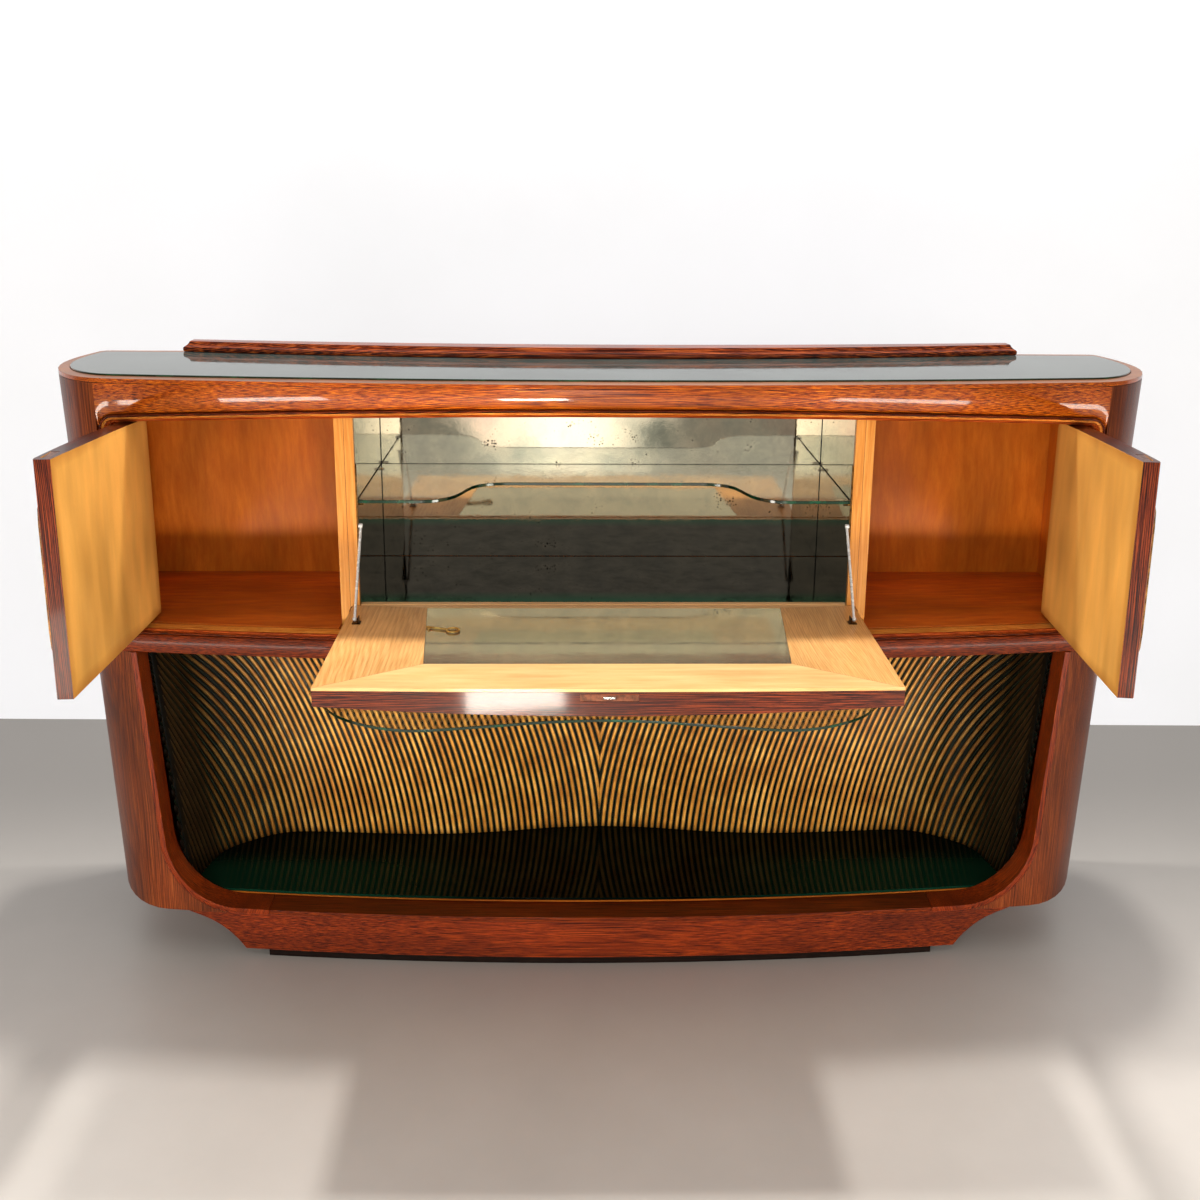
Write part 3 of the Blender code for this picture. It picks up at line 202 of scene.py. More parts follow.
# french-polished rosewood veneer, orange with dark figure
rosewoodLook = {
    "width": 1.5, "length": 120, "wander": 14, "band": 0.10, "cloud": 0.30,
    "tones": [(0.36, "3A0E02"), (0.45, "7A2804"), (0.54, "AA4608"), (0.66, "CC6612")],
    "pore": "260802", "poreShare": 0.55, "rough": 0.36, "coat": 0.32, "coatRough": 0.06}
# darker rosewood lippings and edges
darkRosewoodLook = {
    "width": 1.5, "length": 110, "wander": 10, "band": 0.15, "cloud": 0.25,
    "tones": [(0.39, "140402"), (0.46, "3A0E04"), (0.54, "62220A"), (0.64, "8A3A12")],
    "pore": "0E0302", "poreShare": 0.7, "rough": 0.34, "coat": 0.34, "coatRough": 0.07}
# mahogany veneer bent round the ends, polish worn dull
mahoganyLook = {
    "width": 1.7, "length": 170, "wander": 16, "band": 0.10, "cloud": 0.36,
    "tones": [(0.34, "381204"), (0.46, "58240A"), (0.56, "723412"), (0.68, "88461C")],
    "pore": "2A0C04", "poreShare": 0.5, "rough": 0.44, "coat": 0.18, "coatRough": 0.14}
# pale maple veneer gone amber under its varnish
mapleLook = {
    "width": 5, "length": 130, "wander": 34, "band": 0.06, "cloud": 0.16,
    "tones": [(0.30, "CC9040"), (0.46, "DCA24E"), (0.58, "E6B060"), (0.76, "EEC074")],
    "pore": "B0702E", "poreShare": 0.12, "rough": 0.36, "coat": 0.25, "coatRough": 0.12, "relief": 0.1}
# lining veneer stained orange
liningLook = {
    "width": 11, "length": 70, "wander": 55, "band": 0.04, "cloud": 0.30,
    "tones": [(0.30, "AC5612"), (0.45, "B45E16"), (0.58, "BC6619"), (0.76, "C66F1E")],
    "pore": "7A3A10", "poreShare": 0.16, "rough": 0.46, "coat": 0.06, "coatRough": 0.2, "relief": 0.1}


# a look with other tones at the same stops, or other values
def changed(look, tones=None, **values):
    made = {**look, **values}
    if tones:
        made["tones"] = [(spot, code) for (spot, old), code in zip(look["tones"], tones)]
    return made


rosewoodAcross = woodMaterial("frenchPolishedRosewoodAcross", changed(
    rosewoodLook, tones=["2E0C02", "742804", "AC4E08", "D07414"], width=1.2, length=230, wander=8,
    coat=0.7, coatRough=0.05, relief=0.35), "x")
midRailWood = woodMaterial("frenchPolishedRosewoodMidRail", changed(
    rosewoodLook, tones=["1E0602", "481402", "6C2606", "86380C"], offset=(61, 14, 27), coat=0.10), "x")
rosewoodUpright = woodMaterial("frenchPolishedRosewoodUpright", changed(
    rosewoodLook, offset=(37, 11, 5)), "z")
apronWood = woodMaterial("frenchPolishedRosewoodApron", changed(
    rosewoodLook, tones=["1E0602", "4E1602", "722606", "903A0C"], offset=(91, 44, 7)), "x")
crestWood = woodMaterial("frenchPolishedRosewoodCrest", changed(
    rosewoodLook, tones=["140402", "421004", "7E300C", "B05A22"], width=2.6, offset=(23, 4, 57)), "x")
rimTopWood = woodMaterial("rubbedRosewoodRim", changed(
    rosewoodLook, tones=["4A2410", "6A3A20", "82502E", "986840"], offset=(3, 64, 17), coat=0.1), "x")
linerWood = woodMaterial("frenchPolishedRosewoodBent", changed(
    rosewoodLook, tones=["240802", "5A1A04", "7C2C08", "983E10"], offset=(15, 24, 47), coat=0.14,
    follows="grainPlace"), "z")
# the bead's pale gold is partly rubbed wood and partly painted highlight
beadHighlightWood = woodMaterial("rubbedRosewoodBeadPaintedHighlight", changed(
    rosewoodLook, tones=["9A5016", "C27428", "D88E3C", "E8A654"], offset=(5, 14, 77)), "x")
coveWood = woodMaterial("polishedRosewoodCove", changed(
    rosewoodLook, tones=["4A1404", "842E0A", "A8481A", "C05C22"], offset=(35, 4, 7)), "x")
darkAcross = woodMaterial("rosewoodLippingAcross", changed(darkRosewoodLook, relief=0.7), "x")
plinthWood = woodMaterial("blackenedPlinthBoard", changed(
    darkRosewoodLook, tones=["060302", "0C0604", "140A06", "1E100A"], offset=(7, 21, 43), coat=0.05), "x")
darkUpright = woodMaterial("rosewoodLippingUpright", changed(
    darkRosewoodLook, offset=(12, 71, 3), coat=0.14), "z")
darkDeep = woodMaterial("rosewoodLippingDeep", changed(
    darkRosewoodLook, tones=["0C0302", "260A04", "4A1808", "6A2A10"], offset=(2, 17, 23), coat=0.08), "y")
shellWood = woodMaterial("bentMahoganyVeneer", mahoganyLook, "z")
backWood = woodMaterial("unpolishedMahoganyBoard", changed(
    mahoganyLook, tones=["4A2A1A", "6A402A", "7C4E34", "8A5C40"], coat=0.0, rough=0.7), "x")
mapleAcross = woodMaterial("varnishedMapleVeneerAcross", changed(
    mapleLook, tones=["D29E62", "E0AE72", "E8B87E", "EEC28A"], width=12, offset=(18, 5, 91), cloud=0.1), "x")
# the varnish is darker within reach of the door's edges, sizes in metres
doorBorder = {"centre": (0, -0.125, 0.864), "half": (1, 0.203, 0.190), "reach": 0.020, "tone": "A05E1C"}
doorMaple = woodMaterial("varnishedMapleDoorFace", changed(
    mapleLook, tones=["D69C4A", "DAA04E", "DEA452", "E2AA58"], cloud=0.26, width=22, wander=80,
    offset=(44, 9, 71), border=doorBorder), "z")
jambMaple = woodMaterial("varnishedMapleJamb", changed(
    mapleLook, tones=["B87028", "C88236", "D29044", "DCA054"], offset=(61, 25, 13)), "z")
# the flap's side veneers run askew towards the mitres
askewLook = changed(mapleLook, tones=["BC8448", "D09A5C", "DCA86A", "E8B87C"], band=0.14, width=2.6,
                    length=80, wander=40)
mapleLeft = woodMaterial("varnishedMapleVeneerLeft", changed(
    askewLook, offset=(5, 51, 33)), turn=(math.pi / 2, 0, -0.35))
mapleRight = woodMaterial("varnishedMapleVeneerRight", changed(
    askewLook, offset=(75, 21, 13)), turn=(math.pi / 2, 0, 0.35))
liningUpright = woodMaterial("stainedLiningVeneerUpright", liningLook, "z")
liningAcross = woodMaterial("stainedLiningVeneerAcross", changed(liningLook, offset=(9, 3, 61)), "x")
liningFloor = woodMaterial("stainedLiningVeneerFloor", changed(
    liningLook, tones=["A24A12", "B4581A", "C06622", "CC742A"], offset=(19, 43, 6), coat=0.4), "x")
print("wood materials built")


# brass, steel and chrome, dull where tarnished and faintly scratched
def metalMaterial(name, bright, dull, rough, brushed, metallic=1.0):
    material, tree = newMaterial(name)
    mm = inMillimetres(tree)
    patch = addNode(tree, "TexNoise", inputs={"Vector": mm, "Scale": 0.11, "Detail": 5.0, "Roughness": 0.6})
    tone = addNode(tree, "ValToRGB", inputs={"Fac": patch}, stops=[(0.36, dull), (0.60, bright)])
    scratch = addNode(tree, "TexNoise", inputs={"Vector": mm, "Scale": brushed, "Detail": 3.0})
    roughness = addNode(tree, "MapRange", inputs={
        "Value": patch, "From Min": 0.35, "From Max": 0.65,
        "To Min": rough + 0.16, "To Max": rough})
    bump = addNode(tree, "Bump", inputs={"Strength": 0.15, "Distance": 0.00005, "Height": scratch})
    shader = addNode(tree, "BsdfPrincipled", inputs={
        "Base Color": tone, "Metallic": metallic, "Roughness": roughness, "Normal": bump})
    return closeMaterial(material, shader)


keyBrass = metalMaterial("castBrassKey", "FFD67A", "C08A3C", 0.14, 1.2, 0.5)
agedBrass = metalMaterial("brownedBrassPlate", "8A6434", "4A3018", 0.30, 1.6)
plateBrass = metalMaterial("lacqueredBrassGoneBrown", "6E3A20", "40200E", 0.32, 1.6, 0.5)
brownIron = metalMaterial("brownedSteelStrap", "5A4632", "2C2018", 0.34, 1.8)
chrome = metalMaterial("chromedSteelPitted", "DADDDD", "8C8A84", 0.10, 2.2)
rodChrome = metalMaterial("chromedSteelRod", "FAFBFB", "E0E4E4", 0.16, 0.4, 0.45)


# silvered glass with tarnish spots and hazed silvering; frontTint is the green of the pane's front edge
def mirrorMaterial(name, tint, haze, spotShare, rough, frontTint=None, edgeTint="FFFFFF", silvered=1.0):
    material, tree = newMaterial(name)
    place = addNode(tree, "TexCoord").outputs["Object"]
    mm = inMillimetres(tree, place)
    cloud = addNode(tree, "TexNoise", inputs={
        "Vector": mm, "Scale": 0.02, "Detail": 8.0, "Roughness": 0.68, "Distortion": 0.4})
    fleck = addNode(tree, "TexVoronoi", inputs={"Vector": mm, "Scale": 0.16})
    dot = addNode(tree, "MapRange", inputs={"Value": fleck, "From Min": 0.42, "From Max": 0.22})
    patch = addNode(tree, "MapRange", inputs={"Value": cloud, "From Min": 0.58, "From Max": 0.66})
    foxed = addNode(tree, "Math", "MULTIPLY", {0: dot, 1: patch})
    share = addNode(tree, "Math", {"operation": "MULTIPLY", "use_clamp": True}, {0: foxed, 1: spotShare})
    tone = addNode(tree, "ValToRGB", inputs={"Fac": cloud}, stops=[(0.34, tint), (0.72, haze)])
    spotted = addNode(tree, "Mix", inColour, {0: share, 6: tone, 7: colour("1A140C")})
    if frontTint:
        depth = addNode(tree, "SeparateXYZ", inputs={"Vector": place}).outputs["Y"]
        near = addNode(tree, "MapRange", inputs={"Value": depth, "From Min": 0.11, "From Max": 0.045})
        spotted = addNode(tree, "Mix", inColour, {0: near, 6: spotted, 7: colour(frontTint)})
    roughness = addNode(tree, "MapRange", inputs={
        "Value": cloud, "From Min": 0.45, "From Max": 0.80,
        "To Min": rough, "To Max": rough + 0.10})
    ripple = addNode(tree, "TexNoise", inputs={
        "Vector": mm, "Scale": 0.06, "Detail": 4.0, "Roughness": 0.6})
    bump = addNode(tree, "Bump", inputs={"Strength": 0.2, "Distance": 0.0002, "Height": ripple})
    shader = addNode(tree, "BsdfPrincipled", inputs={
        "Base Color": spotted, "Metallic": silvered, "Roughness": roughness, "Normal": bump,
        "Specular Tint": colour(edgeTint)})
    return closeMaterial(material, shader)


nicheMirror = mirrorMaterial("silveredGlassNiche", "BAB4A4", "D2C8B2", 0.9, 0.02)
darkMirror = mirrorMaterial("smokedSilveredGlass", "48484A", "646264", 0.9, 0.03, "34685A", "B8B8B8")
flapMirrorGlass = mirrorMaterial("silveredGlassFlap", "CCC4A8", "D8CCB0", 0.5, 0.02, silvered=0.86)


# a mottled surface: a soft cloud of tones under one finish
def mottledMaterial(name, noise, stops, skin):
    material, tree = newMaterial(name)
    cloud = addNode(tree, "TexNoise", inputs={"Vector": inMillimetres(tree), **noise})
    tone = addNode(tree, "ValToRGB", inputs={"Fac": cloud}, stops=stops)
    shader = addNode(tree, "BsdfPrincipled", inputs={"Base Color": tone, **skin})
    return closeMaterial(material, shader)


# silvering lost along the pane's rim
mirrorRim = mottledMaterial(
    "blackenedMirrorRim", {"Scale": 0.09, "Detail": 5.0, "Roughness": 0.7},
    [(0.40, "0C0E0A"), (0.60, "2A2C24"), (0.75, "5A5848")],
    {"Roughness": 0.25, "Coat Weight": 0.5, "Coat Roughness": 0.04})
# the ground edge of float glass, where the light inside it comes out deep green
edgeGlass = mottledMaterial(
    "groundGlassEdge", {"Scale": 0.03, "Detail": 4.0, "Roughness": 0.6},
    [(0.35, "071A10"), (0.55, "0E3420"), (0.72, "185638")],
    {"Roughness": 0.12, "Coat Weight": 0.6, "Coat Roughness": 0.05})
# black-green lacquer in the grooves, dull, painted near black as the shade deep between the ribs
grooveLacquerAndShade = mottledMaterial(
    "blackGreenLacquerAndPaintedShade", {"Scale": 0.03, "Detail": 5.0, "Roughness": 0.6},
    [(0.35, "020302"), (0.70, "070A07")], {"Roughness": 0.6, "Specular IOR Level": 0.2})


# clear float glass, faintly smeared; shadow is the tint of the light that falls through it
def glassMaterial(name, tint, rough, shadow):
    material, tree = newMaterial(name)
    mm = inMillimetres(tree)
    smear = addNode(tree, "TexNoise", inputs={"Vector": mm, "Scale": 0.02, "Detail": 5.0, "Roughness": 0.6})
    roughness = addNode(tree, "MapRange", inputs={
        "Value": smear, "From Min": 0.4, "From Max": 0.75,
        "To Min": rough, "To Max": rough + 0.07})
    shader = addNode(tree, "BsdfPrincipled", inputs={
        "Base Color": colour(tint), "Roughness": roughness, "Transmission Weight": 1.0, "IOR": 1.5})
    clear = addNode(tree, "BsdfTransparent", inputs={"Color": colour(shadow)})
    path = addNode(tree, "LightPath").outputs["Is Shadow Ray"]
    mix = addNode(tree, "MixShader", inputs={0: path, 1: shader, 2: clear})
    return closeMaterial(material, mix)


shelfGlass = glassMaterial("polishedFloatGlass", "F6FAF6", 0.0, "ECF2EC")


# back-painted glass: a gloss pane over a dull ground, which cornerTone greens in the front corners
def paneMaterial(name, ground, patchTone, shine, cornerTone=None):
    material, tree = newMaterial(name)
    place = addNode(tree, "TexCoord").outputs["Object"]
    mm = inMillimetres(tree, place)
    cloud = addNode(tree, "TexNoise", inputs={
        "Vector": mm, "Scale": 0.008, "Detail": 6.0, "Roughness": 0.6})
    tone = addNode(tree, "ValToRGB", inputs={"Fac": cloud}, stops=[(0.35, ground), (0.70, patchTone)])
    if cornerTone:
        spot = addNode(tree, "SeparateXYZ", inputs={"Vector": place}).outputs
        side = addNode(tree, "Math", "ABSOLUTE", {0: spot["X"]})
        wide = addNode(tree, "MapRange", smoothly, {"Value": side, "From Min": 0.15, "From Max": 0.6})
        near = addNode(tree, "MapRange", smoothly, {"Value": spot["Y"], "From Min": 0.20, "From Max": 0.12})
        share = addNode(tree, "Math", "MULTIPLY", {0: wide, 1: near})
        tone = addNode(tree, "Mix", inColour, {0: share, 6: tone, 7: colour(cornerTone)})
    dust = addNode(tree, "TexNoise", inputs={"Vector": mm, "Scale": 0.05, "Detail": 8.0, "Roughness": 0.7})
    roughness = addNode(tree, "MapRange", inputs={
        "Value": dust, "From Min": 0.45, "From Max": 0.75, "To Min": 0.03, "To Max": 0.14})
    shader = addNode(tree, "BsdfPrincipled", inputs={
        "Base Color": tone, "Roughness": roughness, "Specular IOR Level": shine})
    return closeMaterial(material, shader)


topPane = paneMaterial("backPaintedGlassGrey", "343B38", "434B48", 0.15)
floorPane = paneMaterial("backPaintedGlassBottleGreen", "010403", "04100A", 0.05, "082A1C")


# gilded ribs, the leaf rubbed in spots; painted shade darkens each rib's flanks and the ribs' outer ends
def gildedMaterial():
    material, tree = newMaterial("rubbedGildedWoodPaintedShade")
    mm = inMillimetres(tree)
    cloud = addNode(tree, "TexNoise", inputs={"Vector": mm, "Scale": 0.02, "Detail": 5.0, "Roughness": 0.6})
    grit = addNode(tree, "TexNoise", inputs={"Vector": mm, "Scale": 0.5, "Detail": 3.0, "Roughness": 0.6})
    tone = addNode(tree, "ValToRGB", inputs={"Fac": cloud},
                   stops=[(0.30, "B06E28"), (0.52, "D49640"), (0.72, "F4BE64")])
    wear = addNode(tree, "MapRange", inputs={
        "Value": grit, "From Min": 0.55, "From Max": 0.75, "To Max": 0.4})
    worn = addNode(tree, "Mix", inColour, {0: wear, 6: tone, 7: colour("6A4418")})
    # painted shade: each rib's flanks, turned away from its crest, go dark brown as if in shade
    crest = addNode(tree, "Attribute", {"attribute_name": "crest"}).outputs["Fac"]
    flank = addNode(tree, "MapRange", inputs={"Value": crest, "From Min": 0.20, "From Max": 0.75})
    flankShaded = addNode(tree, "Mix", inColour, {0: flank, 6: colour("2A1806"), 7: worn})
    # painted shade: the ribs darken towards their outer ends, where the panel turns away from the light
    reach = addNode(tree, "Attribute", {"attribute_name": "reach"}).outputs["Fac"]
    outerShadeShare = addNode(tree, "MapRange", inputs={
        "Value": reach, "From Min": 0.60, "From Max": 0.90, "To Min": 0.0, "To Max": 0.97})
    outerShaded = addNode(tree, "Mix", inColour, {0: outerShadeShare, 6: flankShaded, 7: colour("120B05")})
    bump = addNode(tree, "Bump", inputs={"Strength": 0.3, "Distance": 0.0002, "Height": grit})
    shader = addNode(tree, "BsdfPrincipled", inputs={
        "Base Color": outerShaded, "Metallic": 0.25, "Roughness": 0.30, "Normal": bump})
    return closeMaterial(material, shader)


gilding = gildedMaterial()
beadLacquer = paneMaterial("greenLacqueredBead", "0A120C", "1A281E", 0.4)
print("metal and glass materials built")

record = frame["record"]
bodyOf = {node: body for body, nodes in record["behaviour"]["bodies"].items() for node in nodes}
slotOf = {row["node"]: row["material_slot"] for row in record["subparts"]}
slotOf["back_panel"] = "mahogany"  # finished like the boards of the base
doorSide = {"left": 1, "right": -1}


def newObject(name, data):
    item = bpy.data.objects.new(name, data)
    bpy.context.scene.collection.objects.link(item)
    return item


# the object's mesh with its modifiers worked in
def evaluated(item):
    depsgraph = bpy.context.evaluated_depsgraph_get()
    mesh = bpy.data.meshes.new_from_object(
        item.evaluated_get(depsgraph), preserve_all_data_layers=True, depsgraph=depsgraph)
    item.modifiers.clear()
    item.data = mesh
    return item


# the piece moves with the imported node it stands for, which is hidden
def attach(item, node):
    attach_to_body(item, bodyOf[node])
    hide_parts(node)
    return item


def cutAt(work, point, normal, **settings):
    bmesh.ops.bisect_plane(work, geom=work.verts[:] + work.edges[:] + work.faces[:],
                           plane_co=point, plane_no=normal, **settings)


# weld and slack in metres, angles in degrees
finish = {"weld": 2e-5, "cutSlack": 1e-6, "flatWithin": 0.4, "easedAbove": 32, "easeSteps": 2}
# width of the rounded arrises, in metres
eased = {"board": 0.0012, "panel": 0.0010, "medium": 0.0008, "moulding": 0.0006,
         "veneer": 0.0005, "fine": 0.0004, "thin": 0.0003, "rod": 0.0002}
# the least share of a face's normal along an axis, for the face to count as turned that way
facing = {"square": 0.7, "partly": 0.5}


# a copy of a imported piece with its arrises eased; pick gives the material of each face
def dress(node, materials, pick=None, ease="board", cuts=()):
    mesh = frame["nodes"][node].data.copy()
    mesh.name = node + "Mesh"
    mesh.materials.clear()
    for material in materials:
        mesh.materials.append(material)
    work = bmesh.new()
    work.from_mesh(mesh)
    bmesh.ops.remove_doubles(work, verts=work.verts[:], dist=finish["weld"])
    for point, normal in cuts:
        cutAt(work, point, normal, dist=finish["cutSlack"])
    for face in work.faces:
        face.material_index = pick(face.calc_center_median(), face.normal) if pick else 0
        face.smooth = True
    for edge in work.edges:
        edge.smooth = True
    bmesh.ops.dissolve_limit(work, angle_limit=math.radians(finish["flatWithin"]), verts=work.verts[:],
                             edges=work.edges[:], delimit={"MATERIAL"})
    work.to_mesh(mesh)
    work.free()
    if "custom_normal" in mesh.attributes:
        mesh.attributes.remove(mesh.attributes["custom_normal"])
    item = newObject(node + "Finished", mesh)
    soft = item.modifiers.new("easedEdges", "BEVEL")
    soft.width = eased[ease]
    soft.segments = finish["easeSteps"]
    soft.limit_method = "ANGLE"
    soft.angle_limit = math.radians(finish["easedAbove"])
    soft.harden_normals = True
    soft.use_clamp_overlap = True
    return attach(evaluated(item), node)


plainBoards = {
    "crest_rail": crestWood, "top_rail": rosewoodAcross, "mid_rail": midRailWood,
    "niche_sill_rail": midRailWood, "apron": apronWood, "sub_plinth": plinthWood,
    "left_side_shell": shellWood, "right_side_shell": shellWood,
    "left_base_block": backWood, "right_base_block": backWood, "base_back": backWood,
    "top_board": liningAcross, "mid_deck": liningAcross, "back_panel": backWood,
    "case_bottom": liningAcross, "inner_back": liningUpright,
    "left_compartment_floor": liningFloor, "right_compartment_floor": liningFloor,
    "left_compartment_lining": liningUpright, "right_compartment_lining": liningUpright,
    "niche_floor": mapleAcross}
for node, material in plainBoards.items():
    dress(node, [material])
print("case boards finished")


# maple inside, rosewood outside, dark lippings round the edges
def dressDoors():
    for side, sign in doorSide.items():
        def faceOf(centre, normal, sign=sign):
            across = normal.x * sign
            if across > facing["square"]:
                return 0
            if across < -facing["square"]:
                return 1
            return 3 if abs(normal.z) > facing["square"] else 2
        dress(side + "_door_board", [doorMaple, rosewoodUpright, darkUpright, darkDeep], faceOf, "panel")
        dress(side + "_door_pull", [agedBrass], ease="fine")
        dress(side + "_door_catch_plate", [plateBrass], ease="thin")


# the flap's veneer is mitred from the mirror's front corners outwards
flapVeneer = {"inner": (0.296, -0.2557), "outer": (0.4555, -0.3545), "z": 0.70, "joint": 0.0003,
              "jointReach": 0.0004, "frontStrip": -0.2, "backStrip": -0.05, "backHalf": 0.3}


def dressFlap():
    def boardFace(centre, normal):
        if normal.z < -facing["square"]:
            return 1
        return 2 if abs(normal.x) > facing["square"] else 0
    dress("flap_board", [darkAcross, rosewoodAcross, darkDeep], boardFace)
    (innerX, innerY), (outerX, outerY) = flapVeneer["inner"], flapVeneer["outer"]
    mitres = []
    for sign in (-1, 1):
        inner = Vector((innerX * sign, innerY, flapVeneer["z"]))
        outer = Vector((outerX * sign, outerY, flapVeneer["z"]))
        along = outer - inner
        across = Vector((-along.y, along.x, 0)).normalized()
        step = across * flapVeneer["joint"]
        mitres += [(inner + step, across), (inner - step, across)]

    def veneerFace(centre, normal):
        outerPart = abs(centre.x) > innerX
        drop = (abs(centre.x) - innerX) / (outerX - innerX)
        mitreY = innerY - drop * (innerY - outerY)
        nearJoint = abs(centre.y - mitreY) < flapVeneer["jointReach"]
        if outerPart and normal.z > facing["partly"] and nearJoint:
            return 3
        inFront = centre.y < (mitreY if outerPart else flapVeneer["frontStrip"])
        behind = abs(centre.x) < flapVeneer["backHalf"] and centre.y > flapVeneer["backStrip"]
        if inFront or behind:
            return 0
        return 1 if centre.x < 0 else 2
    dress("flap_inner_panel", [mapleAcross, mapleLeft, mapleRight, coveWood], veneerFace, "veneer", mitres)
    dress("flap_mirror", [flapMirrorGlass], ease="fine")
    dress("lock_bolt", [chrome], ease="fine")
    dress("lock_faceplate", [plateBrass], ease="thin")
    for side in doorSide:
        dress(side + "_flap_hinge", [agedBrass], ease="thin")
        dress(side + "_stay_bracket", [brownIron], ease="fine")
        dress(side + "_stay_rod", [rodChrome], ease="rod")
    dress("key", [keyBrass], ease="fine")


dressDoors()
dressFlap()
print("doors and flap finished")


def dressRims():
    def rimFace(centre, normal):
        return 1 if normal.z > facing["square"] else 0
    for node in ("rim_front", "rim_back", "rim_left_corner", "rim_right_corner"):
        dress(node, [rosewoodAcross, rimTopWood], rimFace)


dressRims()
# dark fillet, pale bead with painted highlight, red cove: depths behind the bowed front, and heights on the
# mid rail
moulding = {"filletDepth": 0.0046, "beadDepth": 0.0085, "beadFoot": 0.6655, "coveFoot": 0.661}


def dressMouldings():
    def openingFace(centre, normal):
        depth = centre.y - frontShift - frontBow * centre.x ** 2
        if depth < moulding["filletDepth"]:
            return 0
        return 1 if depth < moulding["beadDepth"] else 2

    def midFace(centre, normal):
        if centre.z > moulding["beadFoot"]:
            return 1
        return 2 if centre.z > moulding["coveFoot"] else 0
    woods = [darkAcross, beadHighlightWood, coveWood]
    dress("opening_moulding", woods, openingFace, "moulding")
    dress("mid_moulding", woods, midFace, "moulding")


dressMouldings()
bentCorner = {"x": 0.640, "z": 0.275, "radius": 0.165}


# reveal boards bent round the niche: the grain runs along them
def dressLiners():
    middleX, middleZ, radius = bentCorner["x"], bentCorner["z"], bentCorner["radius"]
    for side in doorSide:
        item = dress(side + "_niche_liner", [linerWood], ease="panel")
        run = item.data.attributes.new("grainPlace", "FLOAT_VECTOR", "POINT")
        for vertex, value in zip(item.data.vertices, run.data):
            x, y, z = vertex.co
            out, down = abs(x) - middleX, middleZ - z
            if down <= 0:
                along, across = z, out - radius
            elif out <= 0:
                along, across = out - radius * math.pi / 2 + middleZ, down
            else:
                along = middleZ - math.atan2(down, out) * radius
                across = math.hypot(out, down) - radius
            value.vector = (across, y, along)


# the edges of a pane have the second material
def sideOrFlat(centre, normal):
    return 1 if abs(normal.z) < facing["partly"] else 0


dressLiners()
dress("top_glass", [topPane, edgeGlass], sideOrFlat)
dress("niche_bottom_glass", [floorPane], ease="medium")
dress("upper_glass_shelf", [shelfGlass, edgeGlass], sideOrFlat, "medium")
dress("lower_glass_shelf", [shelfGlass, edgeGlass], sideOrFlat, "medium")
# borders of the blackened rims, and of the brass pegs that stand out of the side panes
paneEdge = {"side": 0.4413, "back": 0.3355, "floor": 0.7053, "backFace": 0.3365, "sideEnd": 0.3370,
            "pegSide": 0.4422, "pegBack": 0.33, "pegFoot": 0.72}


# the silvering has gone black where the niche panes meet
def dressPanes():
    sideCuts = [((sign * paneEdge["side"], 0, 0), (1, 0, 0)) for sign in (-1, 1)]
    backCut = [((0, paneEdge["back"], 0), (0, 1, 0))]
    cutSets = {
        "niche_back_mirror": sideCuts + [((0, 0, paneEdge["floor"]), (0, 0, 1))],
        "left_niche_mirror": backCut, "right_niche_mirror": backCut, "niche_floor_mirror": []}

    def paneFace(centre, normal):
        x, y, z = abs(centre.x), centre.y, centre.z
        if x < paneEdge["pegSide"] and y < paneEdge["pegBack"] and z > paneEdge["pegFoot"]:
            return 2
        outer = x > paneEdge["side"]
        onBack = y > paneEdge["backFace"] and (outer or z < paneEdge["floor"])
        onSide = outer and paneEdge["back"] < y < paneEdge["sideEnd"]
        return 1 if onBack or onSide else 0
    for node, cuts in cutSets.items():
        face = darkMirror if node == "niche_floor_mirror" else nicheMirror
        planes = [(Vector(point), Vector(normal)) for point, normal in cuts]
        dress(node, [face, mirrorRim, agedBrass], paneFace, "thin", planes)


dressPanes()
print("glass finished")

# a dark joint down the front edge, and the stay track on the niche side
divider = {"joint": 0.4597, "jointHalf": 0.0005, "track": 0.4424}


def dressDividers():
    seams = [divider["joint"] + step * divider["jointHalf"] for step in (-1, 1)]

    def dividerFace(centre, normal):
        if seams[0] < abs(centre.x) < seams[1] and normal.y < -facing["partly"]:
            return 1
        return 2 if abs(centre.x) < divider["track"] else 0
    for side, sign in doorSide.items():
        cuts = [(Vector((sign * -spot, 0, 0)), Vector((1, 0, 0))) for spot in seams]
        dress(side + "_divider", [jambMaple, darkUpright, agedBrass], dividerFace, "medium", cuts)


dressDividers()

# reeded back of the lower niche, one half made and mirrored: these are the inputs of its node group
ribs = {"Pitch": 0.0130, "Sink": 0.0040, "Foot": 0.1135, "Top": 0.6395, "Lean": 0.055, "Curl": 0.53,
        "Bend": 0.66, "Bend End": 0.84, "Turn Out": 0.165, "Flare": 0.0566, "Sill": 0.111,
        "Height": 0.5103, "Overrun": 0.034, "Points": 32}
ribKinds = {"Ribs": {"Phase": 0.5, "Radius": 0.0040, "Material": gilding},
            "Beads": {"Phase": 0.0, "Radius": 0.0013, "Material": beadLacquer}}
# where the ribs end: at the seam in the middle, and behind the liner's edge
ribEnd = {"seam": 0.0003, "behindFront": 0.112}
# the panel's wave seen from above, out from the middle: x, and y behind the front
panelPlan = [(0.0, 0.337), (0.10, 0.331), (0.22, 0.314), (0.35, 0.305), (0.48, 0.310), (0.61, 0.318),
             (0.67, 0.310), (0.725, 0.280), (0.768, 0.240), (0.784, 0.190), (0.795, 0.130)]
planSteps = 4


# a smooth line through all the points
def curveThrough(points, perSpan):
    ends = [points[0]] + list(points) + [points[-1]]
    made = []
    for a, b, c, d in zip(ends, ends[1:], ends[2:], ends[3:]):
        for i in range(perSpan):
            t = i / perSpan
            made.append(tuple(0.5 * (2 * q + (r - p) * t + (2 * p - 5 * q + 4 * r - s) * t * t
                                     + (3 * q - p - 3 * r + s) * t ** 3) for p, q, r, s in zip(a, b, c, d)))
    return made + [tuple(points[-1])]


